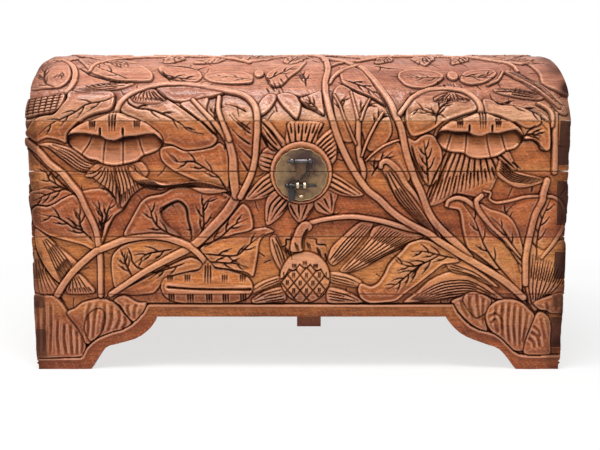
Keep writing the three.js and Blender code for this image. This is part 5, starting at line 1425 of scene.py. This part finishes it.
def net_of(board, place, left, right, bottom, top, deep, number_of_sheet):
    """A closed slab behind part of a sheet: its face is the carving, its back lies deeper than the board."""
    cols = np.flatnonzero((board.across > left - board.pitch) & (board.across < right + board.pitch))
    rows = np.flatnonzero((board.up > bottom - board.pitch) & (board.up < top + board.pitch))
    cols = slice(cols[0], cols[-1] + 1)
    rows = slice(rows[0], rows[-1] + 1)
    across, up = np.meshgrid(board.across[cols], board.up[rows])
    high = board.high[rows, cols]
    many_up, many_across = high.shape
    face = place(across.ravel(), up.ravel(), high.ravel())
    corner_rows = [0, 0, many_up - 1, many_up - 1]
    corner_cols = [0, many_across - 1, many_across - 1, 0]
    behind = place(across[corner_rows, corner_cols], up[corner_rows, corner_cols], np.full(4, -deep))
    number = np.arange(many_up * many_across).reshape(many_up, many_across)
    quads = np.stack([number[:-1, :-1], number[:-1, 1:], number[1:, 1:], number[1:, :-1]], -1).reshape(-1, 4)
    first = len(face)
    faces = quads.tolist()
    faces.append([first + 3, first + 2, first + 1, first])
    faces.append(number[0, ::-1].tolist() + [first, first + 1])
    faces.append(number[::-1, -1].tolist() + [first + 1, first + 2])
    faces.append(number[-1].tolist() + [first + 2, first + 3])
    faces.append(number[:, 0].tolist() + [first + 3, first])
    mesh = bpy.data.meshes.new("slab")
    mesh.from_pydata(np.vstack([face, behind]).tolist(), [], faces)
    for name, values in (("dark", board.dark[rows, cols]), ("worn", board.worn[rows, cols]),
                         ("carved", np.full_like(high, number_of_sheet)), ("across", across), ("up", up)):
        layer = mesh.attributes.new(name, "FLOAT", "POINT")
        layer.data.foreach_set("value", np.r_[values.ravel(), np.zeros(4)].astype(np.float32))
    mesh.update()
    if volume_of(mesh) < 0:
        mesh.flip_normals()
    return bpy.data.objects.new("slab", mesh)


def volume_of(mesh):
    """The volume of a closed mesh, positive when its faces point outward."""
    shape = bmesh.new()
    shape.from_mesh(mesh)
    size = shape.calc_volume(signed=True)
    shape.free()
    return size


def board_solid(node):
    """A copy of a board as planed and cut, with its corners welded and its ends' relief filled up."""
    shape = bmesh.new()
    shape.from_mesh(bpy.data.objects[node].data)
    relief_depth = 6.0
    for corner in shape.verts:
        if half_width - relief_depth < abs(corner.co.x) / mm < half_width:
            corner.co.x = math.copysign(half_width * mm, corner.co.x)
    bmesh.ops.remove_doubles(shape, verts=shape.verts, dist=1e-6)
    mesh = bpy.data.meshes.new(node + "_planed")
    shape.to_mesh(mesh)
    shape.free()
    mesh.materials.clear()
    return bpy.data.objects.new(node + "_planed", mesh)


def listed(items, field, width=1, kind=np.float64):
    """One value of each item of a mesh, as an array."""
    values = np.zeros(len(items) * width, kind)
    items.foreach_get(field, values)
    return values.reshape(-1, width) if width > 1 else values


def sheet_of_faces(mesh):
    """The number of the sheet that each face was carved from, 0 for a plain one."""
    if "carved" not in mesh.attributes:
        return np.zeros(len(mesh.polygons))
    carved = listed(mesh.attributes["carved"].data, "value", kind=np.float32)
    corners = carved[listed(mesh.loops, "vertex_index", kind=np.int32)]
    starts = np.r_[0, np.cumsum(listed(mesh.polygons, "loop_total", kind=np.int32))[:-1]]
    least = np.minimum.reduceat(corners, starts)
    most = np.maximum.reduceat(corners, starts)
    small = listed(mesh.polygons, "area") < speck
    return np.where((most - least < 0.001) & small, np.round(least), 0)


def mark_faces(mesh, grain_axis, inside_of):
    """Notes which faces are end grain, and which are plain, face into the chest and stay bare."""
    normal = listed(mesh.polygons, "normal", 3)
    middle = listed(mesh.polygons, "center", 3)
    from_sheet = sheet_of_faces(mesh)
    across_grain = (from_sheet == 1) == (grain_axis == 1)
    end_grain = np.where(from_sheet == 0, np.abs(normal[:, grain_axis]) > 0.8,
                         across_grain).astype(np.float32)
    inward = Vector(inside_of)
    toward = np.array(inward) - middle
    toward /= np.linalg.norm(toward, axis=1)[:, None]
    bare = (((normal * toward).sum(1) > 0.25) & (from_sheet == 0)).astype(np.float32)
    for name, values in (("end_grain", end_grain), ("bare", bare * (1 - end_grain))):
        layer = mesh.attributes.new(name, "FLOAT", "FACE")
        layer.data.foreach_set("value", values)


def unfold(mesh):
    """A texture map: each carved face laid flat by its sheet, and each plain side on a strip of its own."""
    normal = listed(mesh.polygons, "normal", 3)
    corner_vertex = listed(mesh.loops, "vertex_index", kind=np.int32)
    corner_face = np.repeat(np.arange(len(normal)), listed(mesh.polygons, "loop_total", kind=np.int32))
    place = listed(mesh.vertices, "co", 3)[corner_vertex]
    drawn = [listed(mesh.attributes[name].data, "value", kind=np.float32) for name in ("across", "up")]
    flat = np.stack(drawn, 1)[corner_vertex]
    from_sheet = sheet_of_faces(mesh)
    strongest = np.argmax(np.abs(normal), axis=1)
    facing = strongest * 2 + (normal[np.arange(len(normal)), strongest] > 0)
    plain_sides = 5
    group = np.where(from_sheet > 0, plain_sides + from_sheet, facing).astype(int)[corner_face]
    spots = np.zeros((len(corner_vertex), 2))
    level = 0.0
    for kind in np.unique(group):
        chosen = group == kind
        if kind > plain_sides:
            pair = flat[chosen] * mm
        else:
            pair = place[chosen][:, [k for k in range(3) if k != kind // 2]]
        pair = pair - pair.min(0)
        if pair[:, 0].max() < pair[:, 1].max():
            pair = pair[:, ::-1]
        spots[chosen] = pair + [0, level]
        level += pair[:, 1].max() + 0.012
    spots = 0.004 + spots / (spots.max(0) * 1.01)
    mesh.uv_layers.new(name="OFBake").data.foreach_set("uv", spots.astype(np.float32).ravel())


def settled(made):
    """Makes a piece's modifiers part of its mesh."""
    ready = made.evaluated_get(bpy.context.evaluated_depsgraph_get())
    made.data = bpy.data.meshes.new_from_object(ready)
    made.modifiers.clear()


def dressed(board, node, material, grain_axis, inside_of):
    """Marks, maps and finishes a board, and puts it in the place of its planed node."""
    mesh = board.data
    if "custom_normal" in mesh.attributes:
        mesh.attributes.remove(mesh.attributes["custom_normal"])
    mark_faces(mesh, grain_axis, inside_of)
    unfold(mesh)
    for name in ("carved", "across", "up"):
        mesh.attributes.remove(mesh.attributes[name])
    mesh.materials.clear()
    mesh.materials.append(material)
    mesh.shade_smooth()
    mesh.set_sharp_from_angle(angle=sharp_from)
    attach(board, body_of(node))
    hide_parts(node)


def body_of(node):
    """The name of the body that a node rides on."""
    return bpy.data.objects[node].parent.name.removeprefix("body:")


def carved_board(node, material, faces, grain_axis=0, inside_of=chest_middle, board=None, run=None):
    """Cuts a board back to the carving on each face that it shares; run is its reach up the sheet."""
    low, high = (np.array(corner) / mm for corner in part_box(node))
    beyond, past_all = 4.0, 10.0
    left, right = low[0] - beyond, high[0] + beyond
    near, far = low[1] - front_face / mm - beyond, high[1] - front_face / mm + beyond
    bottom, top = low[2] - beyond, high[2] + beyond
    slabs = []
    if "front" in faces:
        first, last = (run[0] - beyond, run[1] + beyond) if run else (bottom, top)
        slabs.append(net_of(sheet, on_front, left, right, first, last, carving_depth, 1))
    if "front edge" in faces:
        slabs.append(net_of(sheet, on_flat_front, left, right, bottom, top, chest_depth + past_all, 1))
    for name, hand, number in (("left", -1, 2), ("right", 1, 3)):
        if name in faces:
            across = 2 * half_width + past_all
            slabs.append(net_of(end_sheet, on_end(hand), near, far, bottom, top, across, number))
    board = board or board_solid(node)
    scene.collection.objects.link(board)
    for slab in slabs:
        scene.collection.objects.link(slab)
        cutter = board.modifiers.new("carving", "BOOLEAN")
        cutter.operation = "INTERSECT"
        cutter.solver = "MANIFOLD"
        cutter.object = slab
        settled(board)
        bpy.data.objects.remove(slab)
    board.name = node + "_carved"
    return dressed(board, node, material, grain_axis, inside_of)


along_x = (1.0, 9.0, 9.0)
along_y = (9.0, 1.0, 9.0)
plinth_wood = hardwood("plinth_wood", along_x, (0.68, 0.55, 0.46), 3.1)
plinth_end_wood = hardwood("plinth_end_wood", along_y, (0.76, 0.64, 0.55), 4.4, end_dark=0.7)
carved_board("plinth_front", plinth_wood, {"front", "left", "right"})
for side in ("left", "right"):
    carved_board(f"plinth_{side}", plinth_end_wood, {"front edge", side}, grain_axis=1)

# The front and the ends of the chest
# Each is two boards glued edge to edge, carved as one face, with the glue line at mid height. The
# end boards reach through the front in fingers, whose dark end grain shows at the corners.
front_wood = hardwood("front_wood", along_x, (0.92, 0.80, 0.73), 0.0)
# The right end's darker tint and stronger end grain are partly painted shade on that side of the chest.
end_woods = {"left": hardwood("left_end_wood", along_y, (0.88, 0.84, 0.82), 7.7, end_dark=0.35),
             "right": hardwood("right_end_wood", along_y, (0.52, 0.45, 0.43), 6.4, end_dark=0.8)}
for half in ("lower", "upper"):
    carved_board(f"front_board_{half}", front_wood, {"front", "left", "right"})
    for side, wood in end_woods.items():
        carved_board(f"end_board_{half}_{side}", wood, {"front edge", side}, grain_axis=1)

# The lid's rail and gables
# One board stands below the vault in front, with the two wide flowers and the upper half of the
# lock's seat. A gable board closes each end inside the ring of the staves.
rail_wood = hardwood("rail_wood", along_x, (0.94, 0.84, 0.80), 5.2)
lid_middle = (0.0, 0.005, 0.42)
carved_board("lid_rail_front", rail_wood, {"front", "left", "right"}, inside_of=lid_middle)
for side, wood in end_woods.items():
    carved_board(f"lid_end_{side}", wood, {"front edge", side}, grain_axis=1, inside_of=lid_middle)

# The vault of the lid
# Six staves coopered edge to edge and planed round, then carved with the rest. Their ends show
# round the gables.
stave_count = 6
stave_run = section_length / stave_count
stave_thickness = 20.0
glue_gap = 0.15


def stave_solid(k):
    """A stave before it is carved: a bent strip of the lid's section, cut off level above the rail."""
    first = rail_top + k * stave_run + (glue_gap if k > 0 else 0)
    last = rail_top + (k + 1) * stave_run - (glue_gap if k < stave_count - 1 else 0)
    back, high, out_back, out_up = over_face(np.linspace(first, last, 14))
    outer = np.stack([back + 0.3 * out_back, high + 0.3 * out_up], 1)
    inner = np.stack([back - stave_thickness * out_back, high - stave_thickness * out_up], 1)
    ring = np.vstack([outer, inner[::-1]])
    level = rail_top + glue_gap
    kept = []
    for here, following in zip(ring, np.roll(ring, -1, axis=0)):
        if here[1] >= level:
            kept.append(here)
        if (here[1] - level) * (following[1] - level) < 0:
            kept.append(here + (following - here) * (level - here[1]) / (following[1] - here[1]))
    many = len(kept)
    points = [(x * half_width * mm, front_face + y * mm, z * mm) for x in (-1, 1) for y, z in kept]
    faces = [list(range(many)), list(range(2 * many - 1, many - 1, -1))]
    faces += [[n, n + many, (n + 1) % many + many, (n + 1) % many] for n in range(many)]
    mesh = bpy.data.meshes.new("stave")
    mesh.from_pydata(points, [], faces)
    mesh.update()
    if volume_of(mesh) < 0:
        mesh.flip_normals()
    return bpy.data.objects.new("stave", mesh)


# The vault's pale, bluish tint is a painted sheen of the light from above on the lid's top.
vault_wood = hardwood("vault_wood", along_x, (0.86, 1.12, 2.15), 5.2)
for k in range(stave_count):
    low = rail_top + k * stave_run
    carved_board(f"lid_stave_{k + 1}", vault_wood, {"front", "left", "right"}, inside_of=lid_middle,
                 board=stave_solid(k), run=(low, low + stave_run))

# The back, the bottom and the inside
# Plain planed boards of the same hardwood, not carved: the back boards, the plinth's back, the
# lid's back rail, the bottom on its ledgers, and the batten below it.


def plain_board(node, material, grain_axis=0):
    """A board left as planed, with its arrises broken, its marks and its finish."""
    board = board_solid(node)
    scene.collection.objects.link(board)
    bevel = board.modifiers.new("broken_arris", "BEVEL")
    bevel.width = 0.7 * mm
    bevel.segments = 2
    bevel.limit_method = "ANGLE"
    settled(board)
    mark_faces(board.data, grain_axis, chest_middle)
    board.data.materials.append(material)
    board.data.shade_smooth()
    board.data.set_sharp_from_angle(angle=sharp_from)
    board.name = node + "_planed"
    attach(board, body_of(node))
    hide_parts(node)


back_wood = hardwood("back_wood", along_x, (0.90, 0.86, 0.84), 9.3)
bottom_wood = hardwood("bottom_wood", along_x, (0.95, 0.90, 0.85), 6.1, gloss=0.6)
batten_wood = hardwood("batten_wood", along_y, (0.62, 0.50, 0.46), 2.2)
for node in ("back_board_lower", "back_board_upper", "plinth_back", "lid_rail_back"):
    plain_board(node, back_wood)
for k in range(3):
    plain_board(f"bottom_board_{k + 1}", bottom_wood)
for side in ("left", "right"):
    plain_board(f"ledger_{side}", batten_wood, grain_axis=1)
plain_board("centre_batten", batten_wood, grain_axis=1)

# The lock's plates
# One scalloped disc of sheet brass, sawn in two at the lid's seam and let into the seat, with a
# bead pressed round its edge. Its lacquer has browned, most of all round the pivot and the pin.


def metal(name, clean, tarnished, share, roughness, metallic=0.9, spots=()):
    """A worn metal: share is how much of it has tarnished, and spots are places that stay dark."""
    material, tree, shader, where = new_finish(name)
    cloud = add(tree, "TexNoise", Vector=where, Scale=90.0, Detail=5.0, Roughness=0.65)
    rubbed_and_highlit = add(tree, "TexNoise", Vector=where, Scale=900.0, Detail=3.0, Roughness=0.6)
    mask = maths(tree, "MULTIPLY_ADD", cloud.outputs[0], 1.7, share - 0.85)
    mask = maths(tree, "MULTIPLY_ADD", rubbed_and_highlit.outputs[0], 0.5, maths(tree, "SUBTRACT", mask, 0.25))
    for place, reach, strength in spots:
        away = add(tree, "VectorMath", {"operation": "DISTANCE"}, n0=where, n1=place).outputs["Value"]
        near = maths(tree, "SUBTRACT", 1.0, maths(tree, "DIVIDE", away, reach), clamp=True)
        mask = maths(tree, "MULTIPLY_ADD", near, strength, mask)
    mask = maths(tree, "MAXIMUM", mask, 0.0, clamp=True)
    tree.links.new(mixed(tree, mask, clean, tarnished), shader.inputs["Base Color"])
    tree.links.new(maths(tree, "MULTIPLY_ADD", mask, 0.22, roughness, clamp=True), shader.inputs["Roughness"])
    bump = add(tree, "Bump", Strength=0.35, Distance=0.0002, Height=rubbed_and_highlit.outputs[0])
    tree.links.new(bump.outputs[0], shader.inputs["Normal"])
    shader.inputs["Metallic"].default_value = metallic
    return material


def fitted(name, mesh, body, material, slot, *nodes):
    """Links a piece, rides it, gives it its finish and lets it stand for its nodes."""
    mesh.materials.clear()
    mesh.materials.append(material)
    mesh.shade_smooth()
    mesh.set_sharp_from_angle(angle=math.radians(38))
    made = bpy.data.objects.new(name, mesh)
    scene.collection.objects.link(made)
    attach(made, body)
    if nodes:
        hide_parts(*nodes)
    return made


def softened(node, width, material, slot, segments=2):
    """A hard piece as cut, its corners welded and its edges rounded over."""
    shape = bmesh.new()
    shape.from_mesh(bpy.data.objects[node].data)
    bmesh.ops.remove_doubles(shape, verts=shape.verts, dist=1e-6)
    bmesh.ops.dissolve_limit(shape, angle_limit=math.radians(1), verts=shape.verts, edges=shape.edges)
    mesh = bpy.data.meshes.new(node)
    shape.to_mesh(mesh)
    shape.free()
    made = fitted(node + "_worked", mesh, body_of(node), material, slot, node)
    bevel = made.modifiers.new("rounded_edges", "BEVEL")
    bevel.width = width * mm
    bevel.segments = segments
    bevel.limit_method = "ANGLE"
    bevel.angle_limit = math.radians(35)
    bevel.harden_normals = False
    settled(made)
    return made


def lock_point(across, depth, up):
    """A place on the lock, in metres: mm from the chest's middle, into the front face, and up."""
    return np.array([across * mm, front_face + depth * mm, up * mm])


def wire(points, radius, closed=False):
    """A round wire through the points, which are in metres."""
    data = bpy.data.curves.new("wire", "CURVE")
    data.dimensions = "3D"
    data.bevel_depth = radius * mm
    data.bevel_resolution = 3
    data.use_fill_caps = not closed
    spline = data.splines.new("POLY")
    spline.points.add(len(points) - 1)
    for point, place in zip(spline.points, points):
        point.co = (*place, 1)
    spline.use_cyclic_u = closed
    holder = bpy.data.objects.new("wire", data)
    mesh = bpy.data.meshes.new_from_object(holder)
    bpy.data.objects.remove(holder)
    return mesh


def joined(meshes):
    """Several meshes as one."""
    shape = bmesh.new()
    for mesh in meshes:
        shape.from_mesh(mesh)
    whole = bpy.data.meshes.new("joined")
    shape.to_mesh(whole)
    shape.free()
    return whole


pivot_depth, pivot_up = -4.8, 397.0
pin_depth, pin_up = -5.4, 352.5
lock_across = 5.0
plate_radius, scallop_depth, scallop_count = 49.0, 1.7, 16
plate_depth = 1.1
# dark places on the plate: where, how far they reach, and how strong they are
round_pivot = (tuple(lock_point(lock_across + 10, 0, pivot_up)), 0.040, 0.9)
round_pin = (tuple(lock_point(-4, 0, pin_up)), 0.026, 0.8)
plate_brass = metal("plate_brass", (0.36, 0.225, 0.105), (0.085, 0.048, 0.040), 0.45, 0.33, 0.75,
                    (round_pivot, round_pin))
rim_brass = metal("rim_brass", (0.55, 0.41, 0.22), (0.20, 0.12, 0.07), 0.30, 0.28)
seam_gap = 0.6
bead_inset, bead_radius, bead_end = 0.9, 0.75, 0.5
angles = np.linspace(0, 2 * math.pi, 321)
lobes = np.abs(np.cos(angles * scallop_count / 2))
reach = plate_radius - scallop_depth * (1 - lobes) - bead_inset
round_edge = np.stack([lock_across + reach * np.sin(angles), seat_middle[1] + reach * np.cos(angles)], 1)
for half, body, way in (("upper", "lid", 1), ("lower", "chest", -1)):
    softened(f"lock_plate_{half}", 0.35, plate_brass, "brass")
    kept = way * (round_edge[:, 1] - lid_seam) > seam_gap + bead_end
    first = int(np.flatnonzero(~kept)[0]) if kept[0] else int(np.flatnonzero(kept)[0])
    turned_round = np.roll(round_edge[:-1], -first, axis=0)
    edge_line = turned_round[way * (turned_round[:, 1] - lid_seam) > seam_gap + bead_end]
    bead = wire([lock_point(x, plate_depth - 0.1, z) for x, z in edge_line], bead_radius)
    fitted(f"plate_bead_{half}", bead, body, rim_brass, "brass")

# The hasp, its eyes and its pivot
# The hasp is a strap of brass gone brown, rolled round a steel pivot between two ball-headed eyes,
# with a lip at its tip to lift it by, its bright brass a painted highlight.


def turned(profile, middle, steps=32, closed=False, axis=0):
    """A turned piece about an axis: the profile is places along it and radii, in mm."""
    around = np.linspace(0, 2 * math.pi, steps, endpoint=False)
    profile = np.array(profile, float) * mm
    many = len(profile)
    points = []
    for along, radius in profile:
        for angle in around:
            spot = [along, radius * math.cos(angle), radius * math.sin(angle)]
            points.append(np.roll(spot, axis) + middle)
    faces = []
    for k in range(many if closed else many - 1):
        low, high = k * steps, (k + 1) % many * steps
        faces += [[low + n, low + (n + 1) % steps, high + (n + 1) % steps, high + n] for n in range(steps)]
    if not closed:
        faces += [list(range(steps))[::-1], [(many - 1) * steps + n for n in range(steps)]]
    mesh = bpy.data.meshes.new("turned")
    mesh.from_pydata([tuple(point) for point in points], [], faces)
    mesh.update()
    if volume_of(mesh) < 0:
        mesh.flip_normals()
    return mesh


def ball_profile(middle, radius, first, last, steps=10):
    """Part of a ball's outline, between two angles from its left pole."""
    angles = np.radians(np.linspace(first, last, steps))
    return [(middle - radius * math.cos(angle), radius * math.sin(angle)) for angle in angles]


aged_brass = metal("aged_brass", (0.20, 0.115, 0.060), (0.060, 0.032, 0.024), 0.45, 0.38, 0.7)
bright_brass = metal("bright_brass", (0.62, 0.50, 0.32), (0.30, 0.20, 0.10), 0.25, 0.30)
dull_steel = metal("dull_steel", (0.20, 0.18, 0.185), (0.030, 0.022, 0.022), 0.5, 0.28)
black_iron = metal("black_iron", (0.070, 0.066, 0.068), (0.016, 0.013, 0.013), 0.40, 0.27)
softened("hasp", 0.45, aged_brass, "dark_metal")
# the lip's bright brass is a painted highlight where it catches the light
lip = turned([(-4.6, 0.01), (-4.4, 1.6), (-3.4, 2.45), (0, 2.6), (3.4, 2.45), (4.4, 1.6), (4.6, 0.01)],
             lock_point(lock_across, -3.5, 332.4))
fitted("hasp_lip", lip, "hasp", bright_brass, "bright_brass")
pivot_middle = lock_point(lock_across, pivot_depth, pivot_up)
cap = [(21.2, 1.9), (21.8, 2.9), (22.6, 3.2), (23.4, 2.8), (24.0, 0.01)]
pivot = turned([(-a, r) for a, r in cap[::-1]] + cap, pivot_middle)
fitted("hasp_pivot_turned", pivot, body_of("hasp_pivot"), dull_steel, "dark_metal", "hasp_pivot")
barrel = turned([(-10.7, 2.2), (-10.6, 3.6), (-10.2, 4.05), (-4.0, 3.95), (0, 3.9), (4.0, 3.95), (10.2, 4.05),
                 (10.6, 3.6), (10.7, 2.2)], pivot_middle, closed=True)
fitted("hasp_barrel", barrel, "hasp", dull_steel, "dark_metal")
eye_radius, bore_radius = 5.4, 2.2
bore_angle = math.degrees(math.asin(bore_radius / eye_radius))
eye_aside = 16.5
for side, hand in (("left", -1), ("right", 1)):
    eye = lock_point(lock_across + hand * eye_aside, pivot_depth, pivot_up)
    ball = turned(ball_profile(0, eye_radius, bore_angle, 180 - bore_angle, 16), eye, closed=True)
    shank = turned([(3.5, 0.01), (3.5, 2.2), (15.0, 2.2), (15.0, 0.01)], eye, axis=1)
    node = f"hasp_eye_{side}"
    fitted(node + "_turned", joined([ball, shank]), body_of(node), dull_steel, "dark_metal", node)

# The staples, the pin and its drop
# Two bright brass staples come through the hasp's slot. A steel pin slides through both, with a
# small iron fish hanging on its neck.
for side in ("left", "right"):
    softened(f"staple_{side}", 0.85, bright_brass, "bright_brass", segments=3)
head_middle, head_radius = -25.6, 4.6
pin_profile = ball_profile(head_middle, head_radius, 2, 148, 14)
pin_profile += [(-21.4, 2.4), (-17.0, 2.4), (-16.6, 3.2), (-15.8, 3.5), (-14.2, 3.5), (-13.5, 3.2),
                (-13.0, 2.2), (27.6, 2.2), (28.4, 1.8), (28.7, 0.01)]
pin = turned(pin_profile, lock_point(lock_across, pin_depth, pin_up))
fitted("lock_pin_turned", pin, body_of("lock_pin"), black_iron, "dark_metal", "lock_pin")
softened("pin_drop", 1.1, black_iron, "dark_metal", segments=3)

# The chain
# Thin oval links of black wire run from the right eye across the hasp to the pin's head.
chain_depth = -5.1
chain_marks = [(16.5, 37.8), (11.5, 28), (5, 18), (-2, 11.1), (-10, 8.7), (-17, 8.7), (-23.6, 8.7)]
chain_line = curve(chain_marks, gap=0.5)
chain_run = np.r_[0, np.cumsum(np.hypot(*np.diff(chain_line, axis=0).T))]
link_long, link_wide, link_wire = 5.0, 3.2, 0.75
link_step = link_long - 2.1 * link_wire
links = []
for k in range(int((chain_run[-1] - link_long) / link_step) + 1):
    along = link_long / 2 + k * link_step
    spot = [np.interp(along, chain_run, chain_line[:, n]) for n in (0, 1)]
    ahead = [np.interp(along + 0.4, chain_run, chain_line[:, n]) for n in (0, 1)]
    way = np.array(ahead) - spot
    way /= np.hypot(*way)
    ring = []
    for angle in np.linspace(0, 2 * math.pi, 14, endpoint=False):
        long_way = (link_long / 2 - link_wire) * math.cos(angle)
        wide_way = (link_wide / 2) * math.sin(angle)
        flat, deep = (wide_way, 0.0) if k % 2 == 0 else (0.0, wide_way)
        ring.append(lock_point(lock_across + spot[0] + way[0] * long_way - way[1] * flat, chain_depth + deep,
                               pin_up + spot[1] + way[1] * long_way + way[0] * flat))
    links.append(wire(ring, link_wire, closed=True))
fitted("tether_links", joined(links), body_of("tether_chain"), black_iron, "dark_metal", "tether_chain")

# The hinges
# Two iron butt hinges let into the back edges, each with a loose pin and three countersunk screws
# in each leaf.
hinge_iron = metal("hinge_iron", (0.16, 0.14, 0.125), (0.050, 0.030, 0.022), 0.45, 0.45)
for side in ("left", "right"):
    for part in ("chest", "lid"):
        softened(f"hinge_leaf_{part}_{side}", 0.3, hinge_iron, "dark_metal")
        for k in range(3):
            softened(f"screw_{part}_{side}_{k + 1}", 0.15, dull_steel, "dark_metal")
    node = f"hinge_pin_{side}"
    low, high = (np.array(corner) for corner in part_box(node))
    half_length = (high[0] - low[0]) / 2 / mm
    end = [(half_length - 1.2, 1.5), (half_length - 0.5, 1.35), (half_length, 0.01)]
    pin = turned([(-a, r) for a, r in end[::-1]] + end, (low + high) / 2, steps=20)
    fitted(node + "_turned", pin, body_of(node), dull_steel, "dark_metal", node)

# The floor and the light
# A plain white floor under a large soft lamp above the front and a weaker one from the left, as
# in a daylight studio. The camera and polished metal see white all round, and the floor keeps the
# chest's shadow close to it.
floor_mesh = bpy.data.meshes.new("floor")
floor_reach = 40.0
floor_corners = [(x * floor_reach, y * floor_reach, 0) for x, y in ((-1, -1), (1, -1), (1, 1), (-1, 1))]
floor_mesh.from_pydata(floor_corners, [], [(0, 1, 2, 3)])
floor = bpy.data.objects.new("floor", floor_mesh)
scene.collection.objects.link(floor)
floor_paint, tree, paint, on_floor = new_finish("floor_paint")
paint.inputs["Base Color"].default_value = (0.9, 0.9, 0.9, 1)
paint.inputs["Roughness"].default_value = 0.9
paint.inputs["Specular IOR Level"].default_value = 0.1
glow = add(tree, "Emission", Color=(1, 1, 1, 1), Strength=1.0)
from_chest = add(tree, "VectorMath", {"operation": "LENGTH"}, n0=on_floor).outputs[1]
away = maths(tree, "DIVIDE", maths(tree, "SUBTRACT", from_chest, 0.45), 0.9, clamp=True)


def looked_at(tree):
    """1 for rays that show the background itself, to the camera, in polished metal or through glass."""
    rays = add(tree, "LightPath").outputs
    looked = maths(tree, "MAXIMUM", rays["Is Camera Ray"], rays["Is Glossy Ray"])
    return maths(tree, "MAXIMUM", looked, rays["Is Transmission Ray"])


share = maths(tree, "MULTIPLY", looked_at(tree), maths(tree, "MULTIPLY_ADD", away, 0.3, 0.7))
blended = add(tree, "MixShader", Fac=share, n1=paint.outputs[0], n2=glow.outputs[0])
tree.links.new(blended.outputs[0], tree.nodes["Material Output"].inputs["Surface"])
floor_mesh.materials.append(floor_paint)

world = bpy.data.worlds.new("studio")
scene.world = world
world.use_nodes = True
tree = world.node_tree
background = tree.nodes["Background"]
background.inputs["Color"].default_value = (1, 1, 1, 1)
room_light = 0.34
brightness = maths(tree, "MULTIPLY_ADD", looked_at(tree), 1 - room_light, room_light)
tree.links.new(brightness, background.inputs["Strength"])


def soft_lamp(name, place, aim, across, tall, power):
    """A large rectangular soft lamp that points at a place."""
    light = bpy.data.lights.new(name, "AREA")
    light.shape = "RECTANGLE"
    light.size, light.size_y = across, tall
    light.energy = power
    lamp = bpy.data.objects.new(name, light)
    lamp.location = place
    lamp.rotation_euler = (Vector(aim) - Vector(place)).to_track_quat("-Z", "Y").to_euler()
    scene.collection.objects.link(lamp)


soft_lamp("key_lamp", (-0.3, -0.75, 2.4), (0, -0.05, 0.3), 1.5, 0.6, 58)
soft_lamp("side_lamp", (-2.2, -1.3, 1.7), (0, 0, 0.3), 1.0, 1.0, 10)
